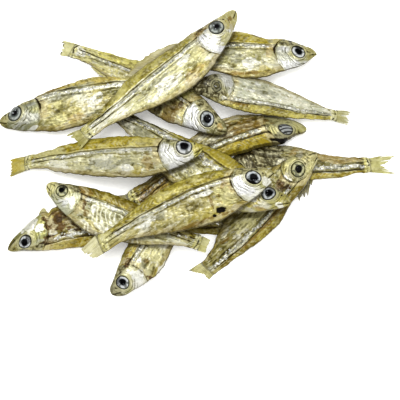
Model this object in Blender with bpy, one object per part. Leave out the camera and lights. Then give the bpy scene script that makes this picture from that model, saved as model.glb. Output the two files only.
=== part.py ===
"""Dried charales: a loose heap of fourteen small dried lake fish, lying on and across each other.

Each fish is one closed solid, lofted from snout to tail fin. Sizes are in millimetres until a mesh is
made, which is in metres, +Z up, with the origin under the middle of the heap.
"""

import math
from collections import namedtuple

import bmesh
import bpy
import numpy as np
from mathutils import Matrix, Vector

MM = 0.001

# One fish: where its snout and its tail end lie in the plan of the heap, in millimetres.
# bow and sway are how far its middle, and its front against its rear, bend to the back, as shares of its
# length. high and deep scale its height above and below the side line. back is the side its back lies
# on, seen from snout to tail (1 left, -1 right), and roll lifts the back by so many degrees. fin, fan and
# fork are the tail fin's length, half height (mm) and notch. tone names its skin in SKIN_TONES.
Charal = namedtuple("Charal", "name snout tail bow sway high deep back roll fin fan fork tone")

# The heap from the floor up: every fish rests on those listed before it.
HEAP = [
    Charal("charal_right_low", (6.4, -6.1), (56.8, -2.6), 0.0, 0.0, 0.94, 1.03, -1, 0,
           10.0, 2.9, 0.55, "brown"),
    Charal("charal_left_low", (-54.1, -28.1), (9.5, -20.2), -0.055, 0.0, 0.9, 0.85, -1, -6,
           5.0, 2.4, 0.3, "brown"),
    Charal("charal_front_low", (-24.7, -40.5), (0.4, -1.6), 0.0, 0.0, 1.1, 0.97, 1, 4,
           5.0, 2.4, 0.3, "straw"),
    Charal("charal_front_right", (33.0, -0.8), (0.4, -35.1), 0.04, 0.0, 1.08, 1.15, 1, 4,
           4.2, 2.6, 0.45, "olive"),
    Charal("charal_right_rolled", (30.8, 7.9), (-23.7, -19.4), -0.072, -0.015, 0.9, 0.85, 1, 22,
           5.6, 2.4, 0.2, "olive"),
    Charal("charal_centre", (24.9, -16.3), (-28.8, 15.6), -0.035, 0.0, 0.88, 0.95, -1, 8,
           5.0, 2.4, 0.3, "olive"),
    Charal("charal_back_cross", (7.5, 4.7), (-40.1, 32.5), 0.07, 0.0, 1.0, 0.92, -1, 0,
           4.2, 2.5, 0.15, "straw"),
    Charal("charal_back_left", (-57.9, 9.6), (-4.1, 18.9), 0.055, -0.006, 0.88, 0.98, 1, 0,
           5.0, 2.4, 0.3, "straw"),
    Charal("charal_left_front", (-43.2, -9.9), (2.4, -27.6), 0.0, 0.0, 1.0, 1.02, 1, 0,
           2.4, 1.9, 0.1, "straw"),
    Charal("charal_right_middle", (-2.1, 18.0), (44.2, 11.1), 0.01, 0.0, 0.95, 0.9, -1, -4,
           4.6, 2.4, 0.15, "silver"),
    Charal("charal_back_right", (34.0, 29.6), (-16.6, 25.6), 0.075, 0.0, 1.12, 1.08, -1, 0,
           4.6, 1.8, 0.2, "silver"),
    Charal("charal_left_middle", (0.7, -1.8), (-54.8, -3.8), 0.045, -0.01, 0.88, 0.94, -1, 0,
           4.6, 2.6, 0.05, "straw"),
    Charal("charal_top_front", (20.0, -9.4), (-30.3, -29.9), 0.08, 0.0, 0.98, 1.08, -1, 4,
           4.8, 1.9, 0.1, "golden"),
    Charal("charal_top_back", (10.2, 41.1), (-36.0, 2.1), 0.0, 0.0, 0.66, 1.0, -1, 4,
           6.0, 3.1, 0.35, "silver"),
]
HEAP_CENTRE = (-0.472, 0.231)

# Base colours of dried charal skin, linear.
SKIN_TONES = {
    "silver": (0.63, 0.60, 0.43),
    "straw": (0.56, 0.50, 0.27),
    "golden": (0.58, 0.48, 0.24),
    "olive": (0.33, 0.27, 0.08),
    "brown": (0.25, 0.18, 0.07),
}

# Back, belly and half thickness of a charal, as shares of its body, from snout (0) to fin root (1).
PROFILE = np.array([
    (0.000, 0.006, -0.014, 0.008),
    (0.030, 0.024, -0.044, 0.019),
    (0.100, 0.043, -0.094, 0.032),
    (0.180, 0.060, -0.130, 0.036),
    (0.250, 0.072, -0.155, 0.034),
    (0.320, 0.081, -0.178, 0.034),
    (0.460, 0.087, -0.182, 0.032),
    (0.580, 0.084, -0.162, 0.028),
    (0.700, 0.072, -0.128, 0.022),
    (0.800, 0.057, -0.090, 0.017),
    (0.900, 0.044, -0.056, 0.012),
    (1.000, 0.046, -0.046, 0.009),
])
EYE = (0.115, -0.006)
EYE_RADIUS = 0.042
EYE_RISE = 0.010
GILL_EDGE = 0.250
GILL_RISE = 0.006
BACK_FULLNESS = 0.18
FLANK_SQUARENESS = 0.75
FIN_HALF_THICKNESS = 0.25

# How finely a solid is lofted, and how finely it is sampled to find where it rests.
SOLID_STATIONS = [0, 0.02, 0.05, 0.085, 0.12, 0.16, 0.205, 0.245, 0.265, 0.33, 0.41, 0.49, 0.57, 0.65,
                  0.73, 0.81, 0.89, 1.0, 1.3, 1.65, 2.0]
SOLID_RING = 12
SAMPLE_STATIONS = np.linspace(0.0, 2.0, 420)
SAMPLE_RING = 180

# The resting rule: cell of the height map, how far the map reaches, clear gap between fish, how far the
# lowest flanks are pressed flat on the floor, and the steepest slope, rock and bend a fish may take.
CELL = 0.30
REACH = 70.0
GAP = 0.34
FLOOR_PRESS = 0.20
STEEPEST = 0.40
MOST_ROCK = 0.24
BENDS = np.linspace(-1.0, 1.6, 14)
LEVELNESS = np.array([1.6, 1.5, 0.15])


def smooth_profile(t, column):
    """One column of PROFILE at t, on a smooth curve through its points."""
    x = PROFILE[:, 0]
    y = PROFILE[:, column]
    slope = np.gradient(y, x)
    i = np.clip(np.searchsorted(x, t, side="right") - 1, 0, len(x) - 2)
    width = x[i + 1] - x[i]
    f = np.clip((t - x[i]) / width, 0.0, 1.0)
    return (
        (2 * f**3 - 3 * f**2 + 1) * y[i]
        + (f**3 - 2 * f**2 + f) * width * slope[i]
        + (-2 * f**3 + 3 * f**2) * y[i + 1]
        + (f**3 - f**2) * width * slope[i + 1]
    )


def plan_of(fish):
    """Length of a fish and the directions along it and to its left, in the plan."""
    run = np.subtract(fish.tail, fish.snout)
    length = math.hypot(*run)
    ahead = run / length
    return length, ahead, np.array((-ahead[1], ahead[0]))


def fish_surface(fish, stations, ring):
    """Points on a fish's skin before it is laid down, an array of stations x ring x 3, in millimetres.

    A station is 0 at the snout, 1 at the root of the tail fin and 2 at the fin's end. The ring starts at
    the back and runs over the upper flank to the belly and back under it.
    """
    length, ahead, left = plan_of(fish)
    body = length - fish.fin
    t = np.asarray(stations, float)[:, None]
    angle = (np.arange(ring) * 2 * math.pi / ring)[None, :]
    up_down = np.cos(angle)
    side = np.sin(angle)

    in_body = np.clip(t, 0.0, 1.0)
    in_fin = np.clip(t - 1.0, 0.0, 1.0)
    back = smooth_profile(in_body, 1) * body * fish.high
    belly = smooth_profile(in_body, 2) * body * fish.deep
    back = back + (fish.fan - back) * in_fin**0.8
    belly = belly + (-fish.fan - belly) * in_fin**0.8
    half = smooth_profile(in_body, 3) * body
    half = half + (FIN_HALF_THICKNESS - half) * np.minimum(1.0, in_fin * 2.5)

    across = (back + belly) / 2 + (back - belly) / 2 * up_down
    out = half * np.sign(side) * np.abs(side) ** FLANK_SQUARENESS * (1 + BACK_FULLNESS * up_down)
    eye_distance = np.hypot(in_body - EYE[0], across / body - EYE[1]) / EYE_RADIUS
    out = out + EYE_RISE * body * np.exp(-eye_distance**4) * side
    out = out + GILL_RISE * body * side * (in_body < GILL_EDGE) * np.minimum(1.0, in_body / GILL_EDGE)

    notch = fish.fork * (1 - np.abs(up_down))
    along = in_body * body + in_fin * fish.fin * (1 - notch)
    share = along / length
    bend = length * share * (1 - share) * (4 * fish.bow + 10.4 * fish.sway * (1 - 2 * share))
    roll = math.radians(fish.roll)
    to_back = (across * math.cos(roll) - out * math.sin(roll) + bend) * fish.back
    height = across * math.sin(roll) + out * math.cos(roll)
    x = fish.snout[0] + ahead[0] * along + left[0] * to_back - HEAP_CENTRE[0]
    y = fish.snout[1] + ahead[1] * along + left[1] * to_back - HEAP_CENTRE[1]
    return np.stack([x, y, height], axis=-1)


def lie_coordinates(fish, points):
    """Distance of points along and across a fish from its middle, in the plan."""
    length, ahead, left = plan_of(fish)
    middle = (np.add(fish.snout, fish.tail)) / 2 - HEAP_CENTRE
    offset = points[..., :2] - middle
    return offset @ ahead, offset @ left, length


def cells_of(points):
    """Row and column of the height map's cell that each point lies in."""
    return np.floor((points[..., 0] + REACH) / CELL).astype(int), np.floor(
        (points[..., 1] + REACH) / CELL
    ).astype(int)


def widened(height_map):
    """The height map with each cell raised to its highest neighbour, so that steep flanks keep clear."""
    wide = height_map.copy()
    for dx in (-1, 0, 1):
        for dy in (-1, 0, 1):
            wide = np.maximum(wide, np.roll(height_map, (dx, dy), axis=(0, 1)))
    return wide


def lay_down(fish, height_map):
    """How a fish comes to rest on the height map: its lift, slope, rock and bend.

    It takes the lie whose middle is lowest, and among those nearly as low the most level one.
    """
    points = fish_surface(fish, SAMPLE_STATIONS, SAMPLE_RING).reshape(-1, 3)
    x, v, length = lie_coordinates(fish, points)
    row, column = cells_of(points)
    under = widened(height_map)[row, column]
    need = np.where(under > 0, under + GAP, -FLOOR_PRESS) - points[:, 2]
    place = np.floor(x + length).astype(int) * 1000 + np.floor(v + 100).astype(int)
    order = np.lexsort((-need, place))
    picked = order[np.unique(place[order], return_index=True)[1]]
    best = None
    for bend in BENDS:
        wanted = need + bend * (2 * x / length) ** 2
        slope, rock = 0.0, 0.0
        for span in (1.0, 0.15, 0.02):
            slopes = np.clip(slope + span * STEEPEST * np.linspace(-1, 1, 25), -STEEPEST, STEEPEST)
            rocks = np.clip(rock + span * MOST_ROCK * np.linspace(-1, 1, 17), -MOST_ROCK, MOST_ROCK)
            tilt = slopes[:, None, None] * x[picked] + rocks[None, :, None] * v[picked]
            height = np.max(wanted[picked] - tilt, axis=2)
            height = height + LEVELNESS[0] * abs(slopes[:, None]) + LEVELNESS[1] * abs(rocks[None, :])
            i, j = np.unravel_index(np.argmin(height), height.shape)
            slope, rock = slopes[i], rocks[j]
        lift = np.max(wanted - slope * x - rock * v)
        middle = lift - bend / 3 + LEVELNESS @ np.abs((slope, rock, bend))
        if best is None or middle < best[0] - 1e-6:
            best = (middle, lift, slope, rock, bend)
    return best[1:]


def laid(fish, points, lie):
    """Points of a fish in its resting place. What would sink into the floor is flattened on it."""
    lift, slope, rock, bend = lie
    x, v, length = lie_coordinates(fish, points)
    placed = points.copy()
    placed[..., 2] += lift + slope * x + rock * v - bend * (2 * x / length) ** 2
    placed[..., 2] = np.maximum(placed[..., 2], 0.0)
    return placed


def lies_of_heap():
    """The resting lie of every fish, found from the floor up."""
    side = int(2 * REACH / CELL)
    height_map = np.zeros((side, side))
    lies = []
    for fish in HEAP:
        lie = lay_down(fish, height_map)
        points = laid(fish, fish_surface(fish, SAMPLE_STATIONS, SAMPLE_RING), lie).reshape(-1, 3)
        np.maximum.at(height_map, cells_of(points), points[:, 2])
        lies.append(lie)
    return lies


def fish_mesh(name, rings):
    """The closed loft through a fish's rings, with the snout and the tail fin's end capped."""
    bm = bmesh.new()
    verts = [[bm.verts.new(point) for point in ring] for ring in rings]
    for one, two in zip(verts, verts[1:]):
        for k in range(SOLID_RING):
            n = (k + 1) % SOLID_RING
            bm.faces.new((one[k], one[n], two[n], two[k]))
    bm.faces.new(verts[0])
    end = verts[-1]
    half = SOLID_RING // 2
    bm.faces.new((end[0], end[1], end[SOLID_RING - 1]))
    bm.faces.new((end[half], end[half + 1], end[half - 1]))
    for k in range(1, half - 1):
        bm.faces.new((end[k], end[k + 1], end[SOLID_RING - k - 1], end[SOLID_RING - k]))
    bmesh.ops.triangulate(bm, faces=bm.faces[:])
    bmesh.ops.recalc_face_normals(bm, faces=bm.faces[:])
    mesh = bpy.data.meshes.new(name)
    bm.to_mesh(mesh)
    bm.free()
    mesh.shade_smooth()
    return mesh


def dried_skin(fish):
    """Dried fish skin: dull silver over straw-yellow flesh."""
    material = bpy.data.materials.new(fish.name + "_skin")
    material.use_nodes = True
    shader = material.node_tree.nodes["Principled BSDF"]
    shader.inputs["Base Color"].default_value = (*SKIN_TONES[fish.tone], 1.0)
    shader.inputs["Roughness"].default_value = 0.42
    shader.inputs["Metallic"].default_value = 0.15
    return material


def fish_object(fish, lie):
    """One fish, its origin at its snout and its own X axis along it, laid in its place in the heap."""
    ahead = plan_of(fish)[1]
    heading = Matrix.Rotation(math.atan2(ahead[1], ahead[0]), 4, "Z")
    start = Vector((fish.snout[0] - HEAP_CENTRE[0], fish.snout[1] - HEAP_CENTRE[1], 0.0)) * MM
    to_own = (Matrix.Translation(start) @ heading).inverted()
    rings = laid(fish, fish_surface(fish, SOLID_STATIONS, SOLID_RING), lie) * MM
    mesh = fish_mesh(fish.name, [[to_own @ Vector(point) for point in ring] for ring in rings])
    mesh.materials.append(dried_skin(fish))
    laid_fish = bpy.data.objects.new(fish.name, mesh)
    laid_fish.location = start
    laid_fish.rotation_euler = heading.to_euler()
    return laid_fish


def main():
    for old in list(bpy.data.objects):
        bpy.data.objects.remove(old)
    collection = bpy.data.collections.new("dried_charales")
    bpy.context.scene.collection.children.link(collection)
    heap = bpy.data.objects.new("heap", None)
    collection.objects.link(heap)
    for fish, lie in zip(HEAP, lies_of_heap()):
        laid_fish = fish_object(fish, lie)
        laid_fish.parent = heap
        collection.objects.link(laid_fish)


main()
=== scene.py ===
"""The looks of a heap of dried charales: their skin, eyes, fins and scales, on a pale floor in soft light.

Lengths are in millimetres until a mesh is made. Meshes are in metres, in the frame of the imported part.
A point on a fish is given along it from the snout, across it from the side line to its back, and out of
its upper side. Shares (s, a) are such lengths along and across, divided by the length of the body.
"""

import math
from collections import namedtuple

import bpy
import numpy as np
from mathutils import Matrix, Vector


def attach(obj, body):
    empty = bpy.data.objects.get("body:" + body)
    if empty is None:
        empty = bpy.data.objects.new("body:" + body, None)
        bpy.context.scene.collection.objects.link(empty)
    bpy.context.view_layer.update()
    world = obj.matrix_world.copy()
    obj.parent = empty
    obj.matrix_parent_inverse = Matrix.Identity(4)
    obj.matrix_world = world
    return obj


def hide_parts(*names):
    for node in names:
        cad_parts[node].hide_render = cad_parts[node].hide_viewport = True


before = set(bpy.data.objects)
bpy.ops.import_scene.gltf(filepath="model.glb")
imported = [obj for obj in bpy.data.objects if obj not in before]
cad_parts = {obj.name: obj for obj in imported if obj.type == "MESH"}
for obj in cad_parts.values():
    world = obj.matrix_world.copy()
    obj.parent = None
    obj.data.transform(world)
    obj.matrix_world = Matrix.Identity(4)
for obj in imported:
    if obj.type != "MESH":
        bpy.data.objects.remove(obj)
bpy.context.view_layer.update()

MM = 0.001

# Where each fish lies and how it is shaped, as in the part's source, from the floor up. snout and tail are
# its ends in the plan. bow and sway are how far a single and a double bend carry it towards its back, as
# shares of its length. high and deep are its back and belly against the plain form. back is the side that
# its back is on, seen from the snout: 1 left, -1 right. roll is in degrees. fin, fan and fork are its tail
# fin's length, half its spread, and how deep it is notched, as a share of its length.
Charal = namedtuple("Charal", "name snout tail bow sway high deep back roll fin fan fork")
HEAP = [
    Charal("charal_right_low", (6.4, -6.1), (56.8, -2.6), 0.0, 0.0, 0.94, 1.03, -1, 0, 10.0, 2.9, 0.55),
    Charal("charal_left_low", (-54.1, -28.1), (9.5, -20.2), -0.055, 0.0, 0.9, 0.85, -1, -6, 5.0, 2.4, 0.3),
    Charal("charal_front_low", (-24.7, -40.5), (0.4, -1.6), 0.0, 0.0, 1.1, 0.97, 1, 4, 5.0, 2.4, 0.3),
    Charal("charal_front_right", (33.0, -0.8), (0.4, -35.1), 0.04, 0.0, 1.08, 1.15, 1, 4, 4.2, 2.6, 0.45),
    Charal("charal_right_rolled", (30.8, 7.9), (-23.7, -19.4), -0.072, -0.015, 0.9, 0.85, 1, 22,
           5.6, 2.4, 0.2),
    Charal("charal_centre", (24.9, -16.3), (-28.8, 15.6), -0.035, 0.0, 0.88, 0.95, -1, 8, 5.0, 2.4, 0.3),
    Charal("charal_back_cross", (7.5, 4.7), (-40.1, 32.5), 0.07, 0.0, 1.0, 0.92, -1, 0, 4.2, 2.5, 0.15),
    Charal("charal_back_left", (-57.9, 9.6), (-4.1, 18.9), 0.055, -0.006, 0.88, 0.98, 1, 0, 5.0, 2.4, 0.3),
    Charal("charal_left_front", (-43.2, -9.9), (2.4, -27.6), 0.0, 0.0, 1.0, 1.02, 1, 0, 2.4, 1.9, 0.1),
    Charal("charal_right_middle", (-2.1, 18.0), (44.2, 11.1), 0.01, 0.0, 0.95, 0.9, -1, -4, 4.6, 2.4, 0.15),
    Charal("charal_back_right", (34.0, 29.6), (-16.6, 25.6), 0.075, 0.0, 1.12, 1.08, -1, 0, 4.6, 1.8, 0.2),
    Charal("charal_left_middle", (0.7, -1.8), (-54.8, -3.8), 0.045, -0.01, 0.88, 0.94, -1, 0,
           4.6, 2.6, 0.05),
    Charal("charal_top_front", (20.0, -9.4), (-30.3, -29.9), 0.08, 0.0, 0.98, 1.08, -1, 4, 4.8, 1.9, 0.1),
    Charal("charal_top_back", (10.2, 41.1), (-36.0, 2.1), 0.0, 0.0, 0.66, 1.0, -1, 4, 6.0, 3.1, 0.35),
]

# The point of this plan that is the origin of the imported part, and the factors that bring the peaks of a
# plain bow and a plain sway to 1.
HEAP_CENTRE = (-0.472, 0.231)
BOW_FACTOR = 4
SWAY_FACTOR = 10.4

# Back, belly and half thickness of a charal, as shares of its body, from snout (0) to fin root (1).
PROFILE = np.array([
    (0.000, 0.006, -0.014, 0.008),
    (0.030, 0.024, -0.044, 0.019),
    (0.100, 0.043, -0.094, 0.032),
    (0.180, 0.060, -0.130, 0.036),
    (0.250, 0.072, -0.155, 0.034),
    (0.320, 0.081, -0.178, 0.034),
    (0.460, 0.087, -0.182, 0.032),
    (0.580, 0.084, -0.162, 0.028),
    (0.700, 0.072, -0.128, 0.022),
    (0.800, 0.057, -0.090, 0.017),
    (0.900, 0.044, -0.056, 0.012),
    (1.000, 0.046, -0.046, 0.009),
])

# How far the eye and the gill cover stand out, as shares of the body, how much thicker a section is at its
# back, and how square its flank: the lower, the squarer.
EYE_RISE = 0.010
GILL_RISE = 0.006
BACK_FULLNESS = 0.18
FLANK_SQUARENESS = 0.75

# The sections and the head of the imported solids, on which the lie of each fish is read.
SOLID_STATIONS = [0, 0.02, 0.05, 0.085, 0.12, 0.16, 0.205, 0.245, 0.265, 0.33, 0.41, 0.49, 0.57, 0.65,
                  0.73, 0.81, 0.89, 1.0]
SOLID_RING = 12
SOLID_EYE = (0.115, -0.006, 0.042)
SOLID_GILL_EDGE = 0.250

# The eye of a fish: its place, radius and roundness, the state of its lens, where the pupil stands from
# the middle, towards tail and back, in eye radii, and the side that is painted black as shade, in degrees
# from the tail towards the back, and how much.
Eye = namedtuple("Eye", "s a radius roundness lens pupil shade")

# The skin of each fish. cover is the rear edge of its gill cover, in shares, and slit how far that edge
# has opened above and below. line is the height of the silver band behind the gill and at mid-body, band
# its half width and chain how much it is broken into scales. cream is the pale strip above the band, ribs
# how far they show, rag how torn the tail fin is, knuckle how thickened its root. plate (the gill cover),
# back, flank, belly, fin and snout are colours. marks are patches of their own colour: kind, s, a, half
# length, half height and turn in degrees.
Skin = namedtuple(
    "Skin", "eye cover slit line band chain cream ribs rag knuckle plate back flank belly fin snout marks")
SKINS = {
    "charal_right_low": Skin(
        Eye(0.115, -0.006, 0.042, 1.0, "clear", (0.0, 0.0), (90, 0.5)),
        0.25, (0.0, 0.0), (-0.006, -0.006), 0.019, 0.5, 0.2, 0.3, 0.9, 1.0,
        "7a7250", "a9954a", "8a8462", "a39c7a", "cdc990", "a9a071", [
            # Its dark patches are painted shade, where it lies under the fish above.
            ("dark", 0.25, -0.10, 0.20, 0.10, 0), ("dark", 0.36, -0.13, 0.08, 0.05, 0),
            ("grey", 0.46, -0.16, 0.06, 0.025, 0), ("pink", 0.66, -0.100, 0.20, 0.032, 8),
            ("pink", 0.85, -0.045, 0.12, 0.020, 5), ("white", 0.90, -0.008, 0.05, 0.010, 0),
        ]),
    "charal_left_low": Skin(
        Eye(0.090, -0.008, 0.0315, 1.0, "clear", (-0.10, 0.12), (-40, 0.75)),
        0.20, (0.35, 0.1), (0.010, 0.012), 0.012, 0.7, 0.3, 0.4, 0.2, 0.0,
        "a9a87a", "a1871f", "8a6f30", "b8ab7c", "6f5d22", "8f8558", [
            ("white", 0.125, -0.070, 0.05, 0.03, -30), ("white", 0.165, -0.045, 0.025, 0.02, 0),
            ("flesh", 0.25, -0.055, 0.07, 0.06, 0), ("flesh", 0.20, 0.010, 0.04, 0.022, 0),
            ("flesh", 0.37, -0.03, 0.07, 0.04, 0), ("white", 0.225, -0.022, 0.022, 0.020, 0),
            ("white", 0.315, -0.008, 0.024, 0.010, 10), ("dark", 0.15, 0.028, 0.022, 0.010, 0),
            ("gold", 0.24, -0.11, 0.05, 0.03, 0),
            ("gold", 0.93, 0.030, 0.14, 0.08, 0),
        ]),
    "charal_front_low": Skin(
        Eye(0.105, -0.016, 0.042, 1.0, "clear", (0.0, -0.05), (110, 0.8)),
        0.235, (0.2, 0.5), (0.0, 0.0), 0.012, 0.5, 0.4, 0.4, 0.3, 1.0,
        "cfcaae", "ad9c5c", "d0caa4", "e6e0b8", "b0a860", "8b866f", [
            ("flesh", 0.235, -0.135, 0.014, 0.03, 20), ("flesh", 0.24, 0.020, 0.05, 0.020, 0),
            ("dark", 0.165, 0.040, 0.05, 0.012, 8), ("brown", 0.26, 0.052, 0.09, 0.010, 6),
            ("white", 0.205, -0.060, 0.040, 0.028, -20), ("white", 0.19, -0.08, 0.03, 0.02, 0),
            ("white", 0.33, 0.010, 0.03, 0.014, 0),
            ("white", 0.34, -0.17, 0.06, 0.012, -6), ("white", 0.29, -0.03, 0.025, 0.016, 20),
            ("gold", 0.275, -0.150, 0.05, 0.012, 10), ("grey", 0.27, -0.075, 0.025, 0.035, 0),
            ("brown", 0.31, -0.06, 0.02, 0.03, 30),
        ]),
    "charal_front_right": Skin(
        Eye(0.165, -0.034, 0.0496, 1.0, "golden", (-0.15, 0.10), (120, 0.15)),
        0.262, (0.4, 0.4), (-0.004, 0.004), 0.015, 1.0, 0.2, 0.1, 0.2, 0.3,
        "8d855c", "7d6a1e", "a39b6c", "8f8558", "d6cf9c", "bdb48f", [
            ("dark", 0.40, -0.030, 0.10, 0.03, 0),
            ("flesh", 0.320, -0.061, 0.040, 0.05, 0), ("brown", 0.5, 0.035, 0.16, 0.02, 0),
            ("brown", 0.72, 0.035, 0.10, 0.010, 0), ("pale", 0.60, -0.05, 0.14, 0.04, 0),
            ("pale", 0.10, 0.02, 0.07, 0.025, 0), ("pale", 0.155, -0.110, 0.05, 0.03, 0),
            # The pale patch at 0.545 is painted light over the shade from the fish above.
            ("pale", 0.545, -0.080, 0.06, 0.03, 0),
            ("flesh", 0.29, -0.02, 0.02, 0.03, 0), ("white", 0.255, -0.06, 0.006, 0.05, 10),
            ("brown", 0.80, -0.055, 0.04, 0.012, 0), ("gold", 0.60, 0.055, 0.16, 0.010, 0),
        ]),
    "charal_right_rolled": Skin(
        Eye(0.110, 0.014, 0.0357, 0.62, "streaked", (0.0, 0.0), (-90, 0.7)),
        0.20, (0.3, 0.2), (0.0, -0.015), 0.013, 0.4, 0.2, 0.2, 0.3, 1.0,
        "65624e", "ad983a", "92824e", "8c7f48", "8a7f48", "beb885", [
            ("brown", 0.29, -0.045, 0.15, 0.05, 0), ("pale", 0.12, -0.045, 0.08, 0.030, 0),
            # The dark patch and the black strip under the eye are painted shade.
            ("dark", 0.155, 0.046, 0.07, 0.018, 0), ("hole", 0.160, 0.049, 0.055, 0.007, 0),
            ("pale", 0.175, 0.012, 0.020, 0.025, 0), ("brown", 0.86, 0.0, 0.13, 0.04, 0),
            ("brown", 0.42, -0.09, 0.08, 0.03, 0), ("dark", 0.63, -0.02, 0.14, 0.05, 0),
            ("grey", 0.42, -0.012, 0.20, 0.016, 0), ("pale", 0.04, -0.010, 0.03, 0.03, 0),
        ]),
    "charal_centre": Skin(
        Eye(0.110, -0.001, 0.0328, 1.0, "glinting", (0.0, 0.05), (120, 0.6)),
        0.24, (0.3, 0.3), (0.0, 0.03), 0.014, 0.6, 0.2, 0.3, 0.3, 1.0,
        "b5ad78", "b09d3e", "cac388", "c9c4a0", "b0a860", "b5ab72", [
            ("white", 0.16, -0.03, 0.03, 0.03, 0),
            ("gold", 0.42, 0.05, 0.12, 0.04, 0), ("pink", 0.10, -0.080, 0.05, 0.010, 0),
            ("white", 0.045, -0.03, 0.03, 0.014, 0), ("grey", 0.80, -0.02, 0.10, 0.03, 0),
            ("white", 0.45, 0.0, 0.02, 0.012, 0), ("gold", 0.17, -0.06, 0.05, 0.03, 0),
        ]),
    "charal_back_cross": Skin(
        Eye(0.130, -0.023, 0.0440, 1.0, "glinting", (-0.08, -0.05), (60, 0.25)),
        0.262, (0.15, 0.3), (-0.02, -0.015), 0.009, 0.6, 0.5, 0.1, 0.6, 1.0,
        "eeefe6", "dfd694", "e2d9b0", "e2daa8", "ece8bc", "857f60", [
            ("pale", 0.92, 0.0, 0.08, 0.05, 0),
            ("brown", 0.335, -0.11, 0.05, 0.08, 0), ("dark", 0.40, -0.15, 0.03, 0.04, 0),
            ("flesh", 0.30, -0.05, 0.02, 0.03, 0),
            ("pink", 0.31, -0.10, 0.02, 0.05, 0), ("pink", 0.04, -0.01, 0.02, 0.02, 0),
            ("white", 0.95, 0.0, 0.03, 0.03, 0), ("grey", 0.84, -0.02, 0.07, 0.02, 0),
        ]),
    "charal_back_left": Skin(
        Eye(0.100, 0.002, 0.042, 1.0, "clouded", (0.0, 0.0), (60, 0.5)),
        0.245, (1.0, 0.35), (0.036, 0.016), 0.012, 0.3, 0.2, 0.3, 0.3, 1.0,
        "90917a", "c8b478", "8f8c66", "cabf90", "b0a860", "9d9468", [
            ("white", 0.57, -0.049, 0.06, 0.035, 20), ("pale", 0.355, -0.115, 0.07, 0.03, 0),
            ("pink", 0.45, -0.125, 0.05, 0.03, 0), ("white", 0.20, -0.118, 0.05, 0.010, 0),
            ("brown", 0.35, 0.064, 0.09, 0.008, 4), ("grey", 0.40, 0.010, 0.10, 0.022, 0),
            ("pale", 0.36, -0.03, 0.05, 0.02, 0), ("grey", 0.38, 0.036, 0.20, 0.016, 4),
        ]),
    "charal_left_front": Skin(
        Eye(0.110, -0.009, 0.0380, 1.0, "golden", (-0.06, 0.10), (95, 0.9)),
        0.235, (0.25, 0.2), (0.0, -0.006), 0.011, 0.4, 0.2, 1.0, 0.1, 1.0,
        "dddec6", "84721f", "d3d2b6", "e2dfbe", "d5d098", "ece5b2", [
            # The pale patch at 0.76 is painted light over the shade from the fish above.
            ("pale", 0.76, -0.045, 0.06, 0.03, 0),
            ("brown", 0.262, -0.015, 0.018, 0.05, 0), ("white", 0.19, -0.05, 0.02, 0.05, 20),
            ("grey", 0.215, -0.02, 0.008, 0.04, 15), ("brown", 0.222, -0.055, 0.008, 0.02, 30),
            ("flesh", 0.270, -0.048, 0.016, 0.030, 0), ("brown", 0.30, -0.085, 0.022, 0.025, 0),
            ("gold", 0.36, -0.137, 0.08, 0.014, -28), ("white", 0.285, -0.005, 0.03, 0.014, 0),
            ("white", 0.33, -0.045, 0.02, 0.03, 0), ("grey", 0.62, -0.05, 0.10, 0.04, 0),
            ("gold", 0.86, 0.0, 0.10, 0.03, 0), ("brown", 0.25, 0.035, 0.05, 0.03, 0),
            ("dark", 0.20, 0.030, 0.02, 0.02, 0),
        ]),
    "charal_right_middle": Skin(
        Eye(0.160, -0.030, 0.0357, 1.0, "sunken", (0.0, 0.0), (90, 0.3)),
        0.275, (0.3, 0.1), (0.022, 0.008), 0.009, 0.8, 0.3, 0.1, 1.0, 1.0,
        "b8b7a4", "d0c484", "dcdeca", "ffffee", "d9d8bc", "6f6b50", [
            # Its dark head marks are partly damaged skin and partly painted shade under the fish above.
            ("dark", 0.06, -0.030, 0.09, 0.08, 0), ("dark", 0.15, 0.015, 0.07, 0.03, 0),
            ("dark", 0.13, -0.08, 0.03, 0.03, 0), ("dark", 0.21, 0.0, 0.02, 0.02, 0),
            ("white", 0.255, -0.02, 0.012, 0.045, 20), ("white", 0.22, 0.025, 0.03, 0.012, 0),
            ("white", 0.20, -0.085, 0.02, 0.02, 0), ("grey", 0.47, -0.07, 0.12, 0.04, 0),
            ("white", 0.42, -0.115, 0.04, 0.012, 0), ("white", 0.40, -0.06, 0.04, 0.010, 0),
            ("brown", 0.33, 0.045, 0.06, 0.014, 0), ("gold", 0.87, 0.040, 0.07, 0.014, 0),
        ]),
    "charal_back_right": Skin(
        Eye(0.120, -0.021, 0.0428, 1.0, "clear", (0.0, -0.06), (100, 1.0)),
        0.262, (0.8, 0.25), (-0.008, 0.0), 0.012, 0.8, 0.1, 0.2, 0.3, 1.0,
        "d6d6c8", "b8a64c", "a8a47c", "c9c49c", "b0a860", "a9a071", [
            ("white", 0.43, -0.115, 0.055, 0.045, 0), ("gold", 0.34, -0.150, 0.05, 0.025, 0),
            ("pink", 0.30, -0.03, 0.03, 0.05, 0), ("dark", 0.52, 0.014, 0.02, 0.012, 0),
            ("flesh", 0.270, -0.030, 0.006, 0.022, 0), ("grey", 0.29, 0.045, 0.03, 0.025, 0),
            ("brown", 0.50, -0.17, 0.16, 0.012, 0), ("grey", 0.53, -0.06, 0.06, 0.05, 0),
        ]),
    "charal_left_middle": Skin(
        Eye(0.100, 0.003, 0.0449, 1.0, "clear", (-0.08, 0.0), (150, 0.35)),
        0.235, (0.8, 0.3), (-0.008, -0.014), 0.009, 0.3, 1.0, 0.3, 0.2, 0.7,
        "f4f4ef", "b39f34", "d6d2b2", "f0ebc4", "bfa900", "cbc57e", [
            ("grey", 0.50, -0.085, 0.14, 0.035, 0), ("gold", 0.50, 0.066, 0.22, 0.012, 0),
            ("pale", 0.86, 0.02, 0.12, 0.035, 0), ("white", 0.19, -0.055, 0.04, 0.05, 0),
            ("pink", 0.30, -0.08, 0.04, 0.05, 0), ("gold", 0.03, 0.0, 0.03, 0.03, 0),
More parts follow.
